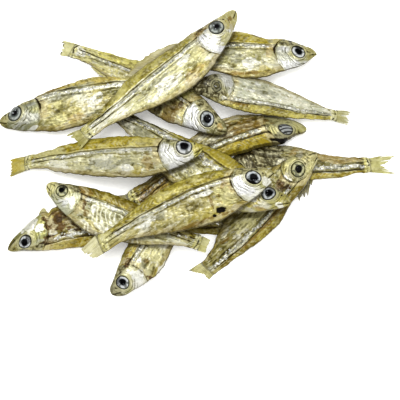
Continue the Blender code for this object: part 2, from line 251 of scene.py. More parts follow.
            ("white", 0.42, -0.12, 0.04, 0.02, 0), ("gold", 0.36, -0.13, 0.04, 0.03, 0),
        ]),
    "charal_top_front": Skin(
        Eye(0.115, -0.015, 0.0407, 1.0, "glinting", (0.0, -0.06), (-60, 1.0)),
        0.235, (0.45, 0.3), (0.0, -0.012), 0.012, 0.1, 0.4, 0.4, 0.4, 1.0,
        "ecebdc", "a09248", "958a5e", "d9cfa0", "f4efd2", "a8a07a", [
            ("pale", 0.29, -0.08, 0.05, 0.06, 0), ("brown", 0.325, -0.075, 0.006, 0.06, 0),
            ("brown", 0.375, -0.10, 0.008, 0.05, 0), ("grey", 0.68, -0.05, 0.04, 0.02, 0),
            ("hole", 0.342, -0.151, 0.032, 0.020, 15), ("hole", 0.386, -0.166, 0.012, 0.008, 0),
            ("white", 0.40, -0.030, 0.06, 0.022, 0), ("pink", 0.27, -0.06, 0.03, 0.07, 0),
            ("gold", 0.42, -0.14, 0.14, 0.03, 0), ("brown", 0.50, -0.172, 0.24, 0.010, 0),
            ("white", 0.75, -0.045, 0.05, 0.03, 0), ("gold", 0.30, -0.12, 0.03, 0.03, 0),
            ("white", 0.055, -0.050, 0.030, 0.055, -35), ("pale", 0.95, 0.010, 0.05, 0.03, 0),
        ]),
    "charal_top_back": Skin(
        Eye(0.150, -0.018, 0.0410, 1.0, "clouded", (-0.05, 0.1), (130, 0.7)),
        0.275, (0.1, 0.6), (-0.010, -0.010), 0.011, 0.2, 0.1, 0.1, 0.3, 1.0,
        "ffffff", "9c9150", "d6d3b0", "dad7b4", "9f9850", "c2ba8d", [
            ("pink", 0.40, -0.135, 0.07, 0.03, 0),
            ("white", 0.53, -0.09, 0.09, 0.030, 0), ("white", 0.63, -0.10, 0.05, 0.014, 0),
            ("gold", 0.36, -0.13, 0.07, 0.028, 10), ("grey", 0.60, -0.045, 0.12, 0.012, 0),
            ("gold", 0.085, -0.050, 0.035, 0.035, 0), ("brown", 0.06, -0.03, 0.02, 0.02, 0),
            ("grey", 0.20, 0.025, 0.035, 0.030, 0), ("dark", 0.185, 0.038, 0.045, 0.012, -10),
            ("brown", 0.22, 0.020, 0.07, 0.016, -8), ("pale", 0.34, -0.06, 0.05, 0.04, 0),
            ("grey", 0.31, 0.0, 0.04, 0.018, 0), ("white", 0.40, -0.05, 0.05, 0.02, 0),
            ("white", 0.215, -0.060, 0.05, 0.055, 0), ("pale", 0.14, -0.100, 0.06, 0.03, 0),
        ]),
}

# The colours of the kinds of mark, in the order in which they cover each other, and how strong each is.
# Dark marks are partly darkened skin and partly painted shade where a fish lies under others, a hole is a
# dent painted black as its shade, and white patches are bright silver, partly painted glint.
MARK_COLOURS = {
    "grey": "8f9080", "gold": "b3a350", "pink": "b09468", "brown": "7d6026", "pale": "d6d0a4",
    "white": "fefef6", "flesh": "58381a", "dark": "3f3720", "hole": "0c0704",
}
MARK_STRENGTH = {
    "grey": 0.55, "gold": 0.65, "pink": 0.6, "brown": 0.75, "pale": 0.8, "white": 0.75, "flesh": 0.85,
    "dark": 0.8, "hole": 1.0,
}

# Small fins besides the tail fin: the fish, the edge it stands on, where it starts and ends along the
# body, its height, how far it is swept back, and its colour.
EdgeFin = namedtuple("EdgeFin", "fish edge start end height sweep colour")
EDGE_FINS = [
    EdgeFin("charal_top_back", "back", 0.34, 0.64, 3.0, 2.2, "9c9058"),
    EdgeFin("charal_right_low", "back", 0.45, 0.64, 6.0, -0.8, "5f5626"),
    EdgeFin("charal_left_low", "belly", 0.160, 0.205, 1.9, 0.5, "b9ae84"),
    EdgeFin("charal_back_cross", "belly", 0.74, 0.84, 1.0, 1.2, "b7ad70"),
]

# Where a fish departs from the plain form. How far its fin root and its fin's end reach further and how
# much longer the fin is on the back's side (mm), and for each bulge the edge it is on (or all), its middle
# and reach along the body, and its height (mm).
TAIL_REACH = {
    "charal_right_low": (2.2, 1.6, -1.0),
    "charal_top_back": (2.2, 0.4, 0.0),
    "charal_top_front": (1.5, 1.6, 1.6),
    "charal_front_right": (1.6, 0.6, -1.4),
    "charal_back_cross": (1.8, 1.2, 1.0),
    "charal_left_low": (3.5, 0.0, 0.0),
    "charal_right_rolled": (0.0, 1.6, 0.0),
}
BULGES = {
    "charal_right_low": [
        ("belly", 0.18, 0.12, 2.8), ("belly", 0.68, 0.10, -0.7), ("belly", 0.94, 0.08, 0.8),
        ("back", 0.80, 0.09, 0.6)],
    "charal_left_low": [
        ("belly", 0.17, 0.10, 0.8), ("belly", 0.212, 0.012, -0.9), ("back", 0.05, 0.06, -0.6),
        ("back", 0.91, 0.07, 1.1)],
    "charal_front_low": [("belly", 0.23, 0.15, 1.2), ("belly", 0.055, 0.04, 0.6)],
    "charal_front_right": [
        ("back", 0.34, 0.09, -1.2), ("belly", 0.78, 0.18, 2.1), ("back", 1.05, 0.06, -0.8),
        ("belly", 1.05, 0.06, 1.0)],
    "charal_right_rolled": [
        ("back", 0.15, 0.09, 0.9), ("back", 0.165, 0.05, 1.1), ("back", 0.48, 0.11, -1.1),
        ("belly", 1.0, 0.15, 2.4)],
    "charal_centre": [("belly", 0.16, 0.09, 1.1), ("back", 0.40, 0.12, 1.2)],
    "charal_back_cross": [("back", 0.73, 0.11, -0.7)],
    "charal_back_left": [("all", 0.28, 0.20, 0.6), ("back", 0.58, 0.16, 1.0), ("back", 0.13, 0.05, 0.5)],
    "charal_right_middle": [
        ("back", 0.25, 0.25, 0.9), ("back", 0.75, 0.15, 0.5), ("belly", 0.12, 0.12, 1.2)],
    "charal_back_right": [
        ("belly", 0.46, 0.17, 1.4), ("back", 0.31, 0.08, -1.3), ("back", 0.52, 0.07, 0.6),
        ("belly", 0.03, 0.04, -0.9)],
    "charal_left_middle": [("belly", 0.43, 0.14, -0.9), ("belly", 0.80, 0.08, 0.6)],
    "charal_top_back": [("back", 0.68, 0.17, 1.2), ("belly", 0.55, 0.14, 0.5)],
    "charal_top_front": [("back", 1.02, 0.04, 1.2)],
}

# How finely a fish is made: steps along head and body (mm), points round its upper and lower side, rings
# and spokes of an eye, and for a fin's web its points across and along and its thickness (mm).
HEAD_STEP = 0.16
BODY_STEP = 0.22
UPPER_POINTS = 76
LOWER_POINTS = 28
END_RINGS = 7
EYE_RINGS = 20
EYE_SPOKES = 64
TAIL_WEB = (70, 22, 0.16)
EDGE_WEB = (48, 14, 0.14)

# How far a body is rounded off at its snout and its fin root, in shares of its length, and how much
# fuller than a plain round its snout is.
SNOUT_ROUND = 0.012
ROOT_ROUND = 0.016
SNOUT_BLUNT = 0.30

# What repeats on a charal, in millimetres, how many rays its tail fin and a small fin have, and how many
# points and sides a ray and corners a scale.
RIB_SPACING = 1.45
MUSCLE_SPACING = 1.25
SCALE_WIDTH = 0.50
SCALE_THICKNESS = 0.05
RAY_THICKNESS = 0.16
RAYS = 17
EDGE_RAYS = 9
RAY_POINTS = 12
RAY_SIDES = 5
SCALE_CORNERS = 7

# The random patterns of two fish are that far apart in their seeds.
SEED_STEP = 100

# Painted shadow darkens the skin round a fish that lies on it, this far out, and more on its side towards
# the camera (mm).
CONTACT_SHADE_REACH = 0.45
SHADOW_SHIFT = 0.35

# Colours are given as they look in strong light. In itself a surface is darker, by the first number. Its
# yellows are purer, by the second, as its gloss adds white to them.
OWN_TO_SEEN = 0.485
GLOSS_PALES = 0.50

# The table lies this far under the heap, in metres, so that no two faces share a plane.
FLOOR_DROP = 0.0001
FLOOR_SIZE = 3.0

# The camera looks down on the heap as in the photograph. Lengths are in metres, the sensor in millimetres.
CAMERA_ELEVATION = math.radians(78)
CAMERA_DISTANCE = 0.350
VIEW_WIDTH = 0.1144
VIEW_TARGET = Vector((0.000472, -0.013231, 0.0))
SENSOR = 36.0


def linear(colour):
    """An sRGB hex colour as linear red, green, blue and alpha."""
    parts = [int(colour[i:i + 2], 16) / 255 for i in (0, 2, 4)]
    return (*(c / 12.92 if c <= 0.04045 else ((c + 0.055) / 1.055) ** 2.4 for c in parts), 1.0)


def own_colour(colour):
    """The colour of a surface in itself, from how it looks in strong light."""
    red, green, blue = (c * OWN_TO_SEEN for c in linear(colour)[:3])
    return red, green, blue * (blue / max(red, green, blue)) ** GLOSS_PALES, 1.0


def rise(value, low, high):
    """From 0 at low to 1 at high, smoothly; high may be the smaller of the two."""
    f = np.clip((value - low) / (high - low), 0.0, 1.0)
    return f * f * (3 - 2 * f)


def ridge(value, middle, width):
    """1 where the value is at the middle, fading to 0 over the width."""
    return np.exp(-(((value - middle) / width) ** 2))


def noise(x, y, seed, octaves=2):
    """Smooth seeded noise, about -1 to 1, whose largest lumps are one unit across."""
    size, middle, full_range = 61, 30, 1.5
    turn = np.random.default_rng(seed).uniform(0.0, 2 * math.pi, (size, size))
    total = 0.0
    for octave in range(octaves):
        px = np.asarray(x) * 2**octave + 17.3 * octave + middle
        py = np.asarray(y) * 2**octave + 9.1 * octave + middle
        i, j = np.floor(px).astype(int), np.floor(py).astype(int)
        fx, fy = px - i, py - j
        corners = []
        for di, dj in ((0, 0), (1, 0), (0, 1), (1, 1)):
            angle = turn[(i + di) % size, (j + dj) % size]
            corners.append(np.cos(angle) * (fx - di) + np.sin(angle) * (fy - dj))
        wx, wy = rise(fx, 0, 1), rise(fy, 0, 1)
        near = corners[0] + (corners[1] - corners[0]) * wx
        far = corners[2] + (corners[3] - corners[2]) * wx
        total = total + (near + (far - near) * wy) / 2**octave
    return total * full_range


def smooth_profile(t, column):
    """One column of PROFILE at t, on a smooth curve through its points."""
    x = PROFILE[:, 0]
    y = PROFILE[:, column]
    slope = np.gradient(y, x)
    i = np.clip(np.searchsorted(x, t, side="right") - 1, 0, len(x) - 2)
    width = x[i + 1] - x[i]
    f = np.clip((t - x[i]) / width, 0.0, 1.0)
    return (
        (2 * f**3 - 3 * f**2 + 1) * y[i]
        + (f**3 - 2 * f**2 + f) * width * slope[i]
        + (-2 * f**3 + 3 * f**2) * y[i + 1]
        + (f**3 - f**2) * width * slope[i + 1]
    )


def plan_of(fish):
    """Length of a fish and the directions along it and to its left, in the plan."""
    run = np.subtract(fish.tail, fish.snout)
    length = math.hypot(*run)
    ahead = run / length
    return length, ahead, np.array((-ahead[1], ahead[0]))


def body_of(fish):
    """Length of a fish without its tail fin."""
    return plan_of(fish)[0] - fish.fin


def outline_of(fish, s):
    """Height of the back and of the belly from the side line, and half thickness, at shares s."""
    body = body_of(fish)
    back = smooth_profile(s, 1) * body * fish.high
    belly = smooth_profile(s, 2) * body * fish.deep
    return back, belly, smooth_profile(s, 3) * body


def between(low, high, up_down):
    """The place between two outlines, from -1 on the lower to 1 on the upper."""
    return (high + low) / 2 + (high - low) / 2 * up_down


def up_down_at(back, belly, across):
    """Where a height is between belly and back: -1 on the belly, 1 on the back."""
    return np.clip((2 * across - back - belly) / (back - belly), -1.0, 1.0)


def section_out(fish, half, up_down, eye, gill):
    """How far a fish stands out from its middle plane, by the distance from its eye and its gill cover."""
    side = np.sqrt(1 - up_down**2)
    out = half * side**FLANK_SQUARENESS * (1 + BACK_FULLNESS * up_down)
    return out + body_of(fish) * side * (EYE_RISE * np.exp(-eye**4) + GILL_RISE * gill)


def bend_of(fish, along):
    """How far a fish is bent towards its back at points along it."""
    length = plan_of(fish)[0]
    share = along / length
    bends = BOW_FACTOR * fish.bow + SWAY_FACTOR * fish.sway * (1 - 2 * share)
    return length * share * (1 - share) * bends


def loose_in_plan(fish, along, across, out):
    """Points of a fish in the plan of the heap, before it is laid down on what is under it."""
    ahead, left = plan_of(fish)[1:]
    roll = math.radians(fish.roll)
    to_back = (across * math.cos(roll) - out * math.sin(roll) + bend_of(fish, along)) * fish.back
    x = fish.snout[0] + ahead[0] * along + left[0] * to_back - HEAP_CENTRE[0]
    y = fish.snout[1] + ahead[1] * along + left[1] * to_back - HEAP_CENTRE[1]
    return np.stack([x, y, across * math.sin(roll) + out * math.cos(roll)], axis=-1)


def lie_coordinates(fish, points):
    """Distance of points along and across a fish from its middle, in the plan, and its length."""
    length, ahead, left = plan_of(fish)
    offset = points[..., :2] - ((np.add(fish.snout, fish.tail)) / 2 - HEAP_CENTRE)
    return offset @ ahead, offset @ left, length


def lie_of(fish):
    """How a fish lies in the heap: lift, slope, rock and bend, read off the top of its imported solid."""
    s = np.array(SOLID_STATIONS)[:, None]
    angle = np.arange(1, SOLID_RING // 2)[None, :] * 2 * math.pi / SOLID_RING
    back, belly, half = outline_of(fish, s)
    across = between(belly, back, np.cos(angle))
    body = body_of(fish)
    eye = np.hypot(s - SOLID_EYE[0], across / body - SOLID_EYE[1]) / SOLID_EYE[2]
    gill = (s < SOLID_GILL_EDGE) * np.minimum(1.0, s / SOLID_GILL_EDGE)
    out = section_out(fish, half, np.cos(angle), eye, gill)
    loose = loose_in_plan(fish, s * body, across, out).reshape(-1, 3)
    solid = np.array([v.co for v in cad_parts[fish.name].data.vertices]) / MM
    same_place = 0.01
    rows, heights = [], []
    for point in loose:
        corner = solid[np.hypot(solid[:, 0] - point[0], solid[:, 1] - point[1]) < same_place]
        if len(corner) and corner[:, 2].max() > same_place:
            x, v, length = lie_coordinates(fish, point)
            rows.append((1.0, x, v, -((2 * x / length) ** 2)))
            heights.append(corner[:, 2].max() - point[2])
    return np.linalg.lstsq(np.array(rows), np.array(heights), rcond=None)[0]


LIES = {fish.name: lie_of(fish) for fish in HEAP}


def drawn_out(fish, along, across):
    """Places on a fish, moved where this one is longer or fuller than the plain form."""
    body = body_of(fish)
    root, tip, skew = TAIL_REACH.get(fish.name, (0.0, 0.0, 0.0))
    s = np.clip(along / body, 0.0, 1.0)
    back, belly = outline_of(fish, s)[:2]
    moved = 0.0 * across
    for edge, middle, reach, height in BULGES.get(fish.name, []):
        limit = belly if edge == "belly" else back
        share = 1.0 if edge == "all" else np.clip(across / limit, 0.0, 1.2)
        moved = moved + np.sign(limit) * height * np.exp(-((s - middle) / reach) ** 2) * share
    beyond = np.maximum(along - body, 0.0) / fish.fin
    longer = tip - root + skew * np.clip(across / fish.fan, -1.0, 1.0)
    along = along + root * rise(s, 0.70, 1.0) + longer * beyond
    return along, across + moved


def placed(fish, along, across, out):
    """Points of a fish in their place in the heap. What would sink into the floor is pressed flat."""
    along, across = drawn_out(fish, along, across)
    points = loose_in_plan(fish, along, across, out)
    lift, slope, rock, bend = LIES[fish.name]
    x, v, length = lie_coordinates(fish, points)
    points[..., 2] += lift + slope * x + rock * v - bend * (2 * x / length) ** 2
    points[..., 2] = np.maximum(points[..., 2], 0.0)
    return points


def eye_distance(skin, s, a):
    """Distance from the eye's middle, in eye radii."""
    eye = skin.eye
    return np.hypot(s - eye.s, (a - eye.a) / eye.roundness) / eye.radius


def cover_distance(skin, s, a):
    """Distance from the hub of the gill cover, 1 at the cover's rear edge, less than 1 on the head."""
    hub_drop = 0.028
    ahead = np.where(s < skin.eye.s, 0.45, 1.0)
    return np.hypot((s - skin.eye.s) * ahead, a - skin.eye.a + hub_drop) / (skin.cover - skin.eye.s)


def line_height(skin, s):
    """Height of the silver band's middle at shares s, as a share of the body."""
    front, middle = skin.line
    bend = rise(s, 0.3, 0.6)
    return (front + (middle - front) * bend) * rise(s, 1.0, 0.75)


def skin_out(fish, skin, s, across):
    """How far the skin stands out from a fish's middle plane, and how squarely it faces out of it."""
    back, belly, half = outline_of(fish, s)
    up_down = up_down_at(back, belly, across)
    a = across / body_of(fish)
    gill = rise(cover_distance(skin, s, a), 1.015, 0.985) * np.minimum(1.0, s / skin.cover)
    out = section_out(fish, half, up_down, eye_distance(skin, s, a), gill)
    return out, np.sqrt(1 - up_down**2)


def mark_strength(mark, s, a, x, y, seed):
    """How strongly a mark shows at points (s, a), or (x, y) in millimetres: 1 inside its uneven oval."""
    middle_s, middle_a, half_length, half_height, turn = mark[1:]
    c, n = math.cos(math.radians(turn)), math.sin(math.radians(turn))
    u = ((s - middle_s) * c + (a - middle_a) * n) / half_length
    v = ((a - middle_a) * c - (s - middle_s) * n) / half_height
    ragged = 0.55 * noise(x / 2.2, y / 1.4, seed, 4)
    return rise(np.hypot(u, v) + ragged, 1.25, 0.45)


def folds(x, y, seed, octaves=2):
    """Sharp-crested folds, from 0 in the wide hollows to 1 on the crests."""
    return np.clip(1 - 1.6 * np.abs(noise(x, y, seed, octaves)), 0.0, 1.0) ** 2


def skin_relief(fish, skin, seed, s, across):
    """Fine relief of the skin in millimetres, outwards, and the masks that its colours follow.

    The number before a form is its height or depth. Places and widths on the fish are shares, x and y are
    millimetres, and a pattern's divisors are the lengths of its lumps. Each pattern has its own seed.
    """
    body = body_of(fish)
    a = across / body
    x, y = s * body, across
    back, belly = outline_of(fish, s)[:2]
    up_down = up_down_at(back, belly, across)
    eye = eye_distance(skin, s, a)
    above_eye = a - skin.eye.a
    wobble = noise(x / 2.5, y / 2.5, seed + 7, 2)
    cover = cover_distance(skin, s, a) + 0.045 * wobble
    on_body = rise(cover, 0.985, 1.015)
    on_head = 1 - on_body
    behind_eye = rise(s, skin.eye.s - 0.05, skin.eye.s + 0.01)
    from_line = a - line_height(skin, s) + 0.0035 * noise(x / 5.0, 0 * y, seed + 10, 2)
    to_tail = rise(s, 0.70, 0.95)
    lumps = noise(x / 7.0, y / 3.6, seed + 1, 2)
    crumple = noise(x / 1.1, y / 0.9, seed + 2, 3)
    patchy = noise(x / 5.0, y / 3.5, seed + 3, 1)
    long_folds = folds(x / 4.5, y / 1.8 + 0.5 * lumps, seed + 5)
    fine_folds = folds(x / 1.5 + 0.5 * lumps, y / 0.9 + 0.6 * lumps, seed + 35)
    small_folds = folds(x / 1.3, y / 0.85 + 0.3 * lumps, seed + 15)
    along_folds = folds(x / 5.5, y / 0.75 + 0.5 * lumps, seed + 25)

    # The silver band is a crinkled foil between two shrunken grooves.
    width = skin.band * (1 - 0.25 * to_tail)
    band = ridge(from_line, 0.0, width) * on_body
    height = band * (0.10 + (0.03 + 0.22 * skin.chain) * crumple + 0.12 * skin.chain * small_folds)
    grooved = (0.65 + 0.5 * patchy) * on_body * rise(s, 0.99, 0.93)
    groove = ridge(from_line, 1.45 * width, 0.0040) * np.clip(grooved, 0, 1)
    height -= 0.30 * groove
    under = ridge(from_line, -1.35 * width, 0.0036) * np.clip(grooved - 0.25 * lumps, 0, 1)
    height -= 0.22 * under

    # The flank has sunk in hollows between folds, and shows its ribs over the belly.
    flank = rise(from_line, -width, -2.2 * width) * on_body
    hollow = rise(lumps, 0.0, 0.8)
    height -= 0.26 * hollow * flank * (1 - 0.6 * to_tail)
    belly_zone = flank * rise(s, 0.26, 0.34) * rise(s, 0.74, 0.60)
    rib_place = (x + 0.35 * y + 1.3 * noise(x / 4, y / 5, seed + 4, 2)) / RIB_SPACING
    ribs = np.abs(np.cos(math.pi * rib_place)) ** 3
    height += skin.ribs * 0.18 * (ribs - 0.4) * belly_zone * rise(patchy, -0.5, 0.3)
    height += (0.16 * long_folds + 0.07 * fine_folds + 0.03 * small_folds) * flank * (1 - 0.4 * to_tail)
    height -= 0.20 * along_folds * (0.3 * on_body + 0.5 * to_tail * on_body + 0.2 * flank)
    height += 0.05 * crumple * on_body

    # Fine creases run over it, thinly on the back.
    creases = ridge(noise(x / 2.4 + 0.5 * lumps, y / 1.5 + 0.6 * lumps, seed + 40, 2), 0.0, 0.060)
    creases = creases * rise(noise(x / 3.0, y / 2.2, seed + 41, 2), -0.05, 0.40) * on_body
    height -= 0.09 * creases

    # The back is a smooth roll that shows its muscle segments, faint uneven chevrons.
    on_back = rise(from_line, 1.7 * width, 2.3 * width) * on_body
    roll_height = np.sin(math.pi * np.clip((from_line - 1.5 * width) / 0.06, 0, 1)) * on_body
    height += 0.14 * roll_height
    chevron = np.sin(2 * math.pi * (x + 1.1 * np.abs(y - 0.03 * body) + 1.2 * lumps) / MUSCLE_SPACING)
    segments = chevron * (on_back + 0.6 * to_tail * on_body) * rise(patchy, -0.6, 0.5)
    height += 0.045 * segments

    # The gill cover is a smooth plate, with a slit behind it that opens into a crescent above.
    open_above, open_below = skin.slit
    slit_reach = rise(a, 0.075, 0.045) * rise(a, -0.16, -0.12) * rise(wobble, -0.9, 0.1)
    slit_open = open_below + (open_above - open_below) * rise(above_eye, -0.045, 0.0)
    slit = ridge(cover, 1.040, 0.022) * slit_reach * np.clip(1.4 * slit_open, 0.0, 1.0)
    crescent = ridge(cover, 1.055, 0.040) * ridge(above_eye, 0.004, 0.034) * behind_eye * open_above
    height -= 0.30 * slit + 0.26 * crescent
    height -= 0.10 * ridge(cover, 1.03, 0.03) * slit_reach
    ring_place = 2.2 * eye + 0.6 * noise(x / 3.0, y / 3.0, seed + 6, 2)
    arcs = np.clip(np.cos(2 * math.pi * ring_place), 0, 1) ** 4 * rise(above_eye, 0.045, 0.0)
    arcs = arcs * rise(noise(x / 2.0, y / 2.0, seed + 26, 2), -0.5, 0.15) * ridge(eye, 1.7, 1.15) * on_head
    socket = ridge(eye, 1.20, 0.045) * rise(noise(x / 2.0, y / 2.0, seed + 27, 1), -0.4, 0.2)
    height -= 0.12 * arcs + 0.06 * socket
    height += 0.05 * crumple * on_head * rise(eye, 1.1, 1.5)
    on_crown = on_head * rise(above_eye, 0.018, 0.036) * rise(s, 0.03, 0.07)
    height += 0.14 * (small_folds + crumple) * on_crown
    height += 0.06 * ridge(eye, 1.12, 0.08) - 0.50 * rise(eye, 1.06, 0.96)

    # The shoulder behind the cover bulges, then the skin sinks against the flank.
    shoulder = rise(cover, 1.55, 1.20) * on_body * rise(a, 0.09, 0.05) * rise(a, -0.15, -0.08)
    height += 0.22 * shoulder * (1 + 0.5 * wobble)

    # The mouth slants down from the snout, under a lip.
    mouth_line = a + 0.004 + 0.62 * s
    mouth = ridge(mouth_line, 0.0, 0.0042) * rise(s, 0.052, 0.040)
    height += 0.10 * ridge(mouth_line, 0.012, 0.008) * rise(s, 0.06, 0.04) - 0.24 * mouth
    nostril = ridge(np.hypot(s - skin.eye.s + 0.058, a - skin.eye.a - 0.014), 0.0, 0.006)
    height -= 0.16 * nostril

    # The root of the tail fin has dried to a wrinkled knuckle.
    knuckle = rise(s, 0.945, 0.970) * skin.knuckle
    height += 0.12 * knuckle * (1 + small_folds + crumple)
    root_line = ridge(s + 0.010 * wobble + 0.012 * up_down**2, 0.985, 0.005)
    root_line = root_line * skin.knuckle * rise(crumple + patchy, -0.6, 0.2)

    marks = {kind: 0.0 * a for kind in MARK_COLOURS}
    for number, mark in enumerate(skin.marks):
        strength = mark_strength(mark, s, a, x, y, seed + 30 + number)
        marks[mark[0]] = np.maximum(marks[mark[0]], strength)
    height -= 0.55 * marks["hole"] + 0.22 * marks["flesh"] * rise(crumple, -0.2, 0.5)
    height += 0.18 * crumple * (marks["flesh"] + marks["dark"])

    masks = {
        "back": on_back,
        "cream": ridge(from_line, 2.1 * width, 0.55 * width) * on_body * skin.cream,
        "silver": band * rise(band * 0.9 + (0.1 + 0.5 * skin.chain) * crumple, 0.25, 0.75),
        "shoulder": shoulder * (0.6 + 0.4 * patchy),
        "cheek": on_head,
        "cover": on_head * (0.5 * rise(eye, 1.05, 1.3) + 0.5 * rise(eye, 1.5, 2.0))
        * rise(above_eye, 0.034, 0.0) * rise(s, 0.03, 0.12),
        "arcs": np.clip(arcs + 0.8 * socket, 0.0, 1.0),
        "lip": ridge(cover, 0.955, 0.030) * on_head * behind_eye,
        "crown": on_crown,
        "snout": rise(s + 0.35 * np.maximum(-above_eye, 0.0), skin.eye.s - 0.02, skin.eye.s - 0.06),
        "knuckle": knuckle,
        # rim and edge are painted shade: the flank darkens towards the belly's edge, the outline where the
        # skin turns away.
        "rim": flank * rise(up_down, -0.55, -0.95),
        "edge": rise(up_down, -0.93, -0.985) + 0.8 * rise(up_down, 0.955, 0.995),
        # Creases, grooves, slits and the eye socket are marked for painted shade.
        "crease": np.clip(
            groove + 0.75 * under + slit + 1.5 * crescent + 0.7 * mouth + nostril + root_line
            + 0.25 * socket + 0.35 * along_folds * to_tail
            + creases * (0.55 - 0.25 * on_back), 0.0, 1.0),
        "segments": np.clip(segments, 0.0, 1.0),
        "ribs": ribs * belly_zone * skin.ribs,
        **marks,
    }
    return height, masks


def smoothed(grid, reach):
    """A grid's local average over about that many points each way, taken twice along each axis."""
    for axis in (0, 0, 1, 1):
        grid = sum(np.roll(grid, k, axis) for k in range(-reach, reach + 1)) / (2 * reach + 1)
    return grid


def ring_angles():
    """Angles round a fish, from its back over the upper side to the belly and back underneath."""
    upper = np.linspace(0.0, 1.0, UPPER_POINTS, endpoint=False)
    upper = 0.5 * math.pi * upper + 0.5 * np.arccos(1 - 2 * upper)
    lower = np.linspace(math.pi, 2 * math.pi, LOWER_POINTS, endpoint=False)
    return np.concatenate([upper, lower])


def body_stations(fish, skin):
    """Shares of the body at which a fish is lofted, closest on the head and at the two ends."""
    body = body_of(fish)
    head_end = skin.cover + 0.03
    snout = SNOUT_ROUND * (1 - np.cos(np.linspace(0.12, 0.5 * math.pi, END_RINGS)))
    head = np.arange(SNOUT_ROUND, head_end, HEAD_STEP / body)[1:]
    trunk = np.arange(head_end, 1 - ROOT_ROUND, BODY_STEP / body)[1:]
    root = 1 - ROOT_ROUND * (1 - np.sin(np.linspace(0.0, 0.5 * math.pi - 0.15, END_RINGS)))
    return np.concatenate([snout, head, trunk, root])


def painted_contact_shade(number, points):
    """How near points of a fish are to the edge of a fish that lies on it, as its painted shadow: 1 under
    it, 0 in the open.
    """
    near = np.zeros(points.shape[:-1])
    for other in HEAP[number + 1:]:
        ahead, left = plan_of(other)[1:]
        x = points[..., 0] + HEAP_CENTRE[0] - other.snout[0]
        y = points[..., 1] + HEAP_CENTRE[1] - other.snout[1] + SHADOW_SHIFT
        along = x * ahead[0] + y * ahead[1]
        across = (x * left[0] + y * left[1]) * other.back - bend_of(other, along)
        s = along / body_of(other)
        back, belly = outline_of(other, np.clip(s, 0.0, 1.0))[:2]
        beside = np.maximum(np.maximum(across - back, belly - across), 0.0)
        beyond = np.maximum(np.maximum(-s, s - 1.0), 0.0) * body_of(other)
        near = np.maximum(near, np.exp(-(np.hypot(beside, beyond) / CONTACT_SHADE_REACH) ** 1.3))
    return near


def grid_faces(rows, columns, start, wrapped):
    """Quads of a grid of points, numbered from start; wrapped joins its last column to its first."""
    i, k = np.meshgrid(np.arange(rows - 1), np.arange(columns if wrapped else columns - 1), indexing="ij")
    n = (k + 1) % columns
    corners = [i * columns + k, i * columns + n, (i + 1) * columns + n, (i + 1) * columns + k]
    return (np.stack(corners, axis=-1).reshape(-1, 4) + start).tolist()


def closed_faces(rows, columns, flipped):
    """Faces of a tube of points, closed at its two ends by two points that follow the others."""
    faces = grid_faces(rows, columns, 0, True)
    first, rim = rows * columns, (rows - 1) * columns
    for k in range(columns):
        n = (k + 1) % columns
        faces += [(first, n, k), (first + 1, rim + k, rim + n)]
    return [face[::-1] for face in faces] if flipped else faces


def fish_body(fish, skin, seed):
    """The skin of a fish from snout to fin root: points, faces and masks."""
    s = body_stations(fish, skin)[:, None]
    angle = ring_angles()[None, :]
    body = body_of(fish)
    back, belly = outline_of(fish, s)[:2]
    across = between(belly, back, np.cos(angle))
    out, side = skin_out(fish, skin, s, across)
    height, masks = skin_relief(fish, skin, seed, s, across)
    out = (out + height * np.sqrt(side)) * np.where(np.sin(angle) < 0, -1.0, 1.0)
    # Hollows of the relief are marked for painted shade, its ridges for a paler tone that is part wear and
    # part painted highlight.
    cavity = height - smoothed(height, 6)
    masks["low"], masks["high"] = rise(cavity, -0.03, -0.16), rise(cavity, 0.02, 0.12)
    shrivel = 0.22 * noise(s * body / 2.2, np.cos(angle) * 0.4, seed + 8, 3)
    across = across + shrivel * np.abs(np.cos(angle)) ** 3 * rise(s, 0.02, 0.3)

    from_snout = np.clip(s / SNOUT_ROUND, 0.0, 1.0)
    from_root = np.clip((1 - s) / ROOT_ROUND, 0.0, 1.0)
    blunt = np.sqrt(1 - (1 - from_snout) ** 2) * (1 - (1 - from_root) ** 2) ** 0.35
    middle = (back + belly) / 2
    across = middle + (across - middle) * blunt * (1 + SNOUT_BLUNT * rise(s, 0.07, 0.0))
    points = placed(fish, s * body + 0 * angle, across, out * blunt)
    masks["contact"] = painted_contact_shade(seed // SEED_STEP, points)
    ends = [placed(fish, np.array(along), middle[row, 0], 0.0) for along, row in ((0.0, 0), (body, -1))]
    fish_mm = np.stack([s * body + 0 * angle, across, 0 * across + seed], axis=-1)
    masks = {name: np.broadcast_to(value, across.shape) for name, value in masks.items()}
    return {
        "points": np.concatenate([points.reshape(-1, 3), ends]),
        "faces": closed_faces(*points.shape[:2], fish.back < 0),
        "fish_mm": np.concatenate([fish_mm.reshape(-1, 3), [fish_mm[0, 0], fish_mm[-1, 0]]]),
        "masks": {name: np.append(value.ravel(), [0.0, 0.0]) for name, value in masks.items()},
        "slot": 0,
    }


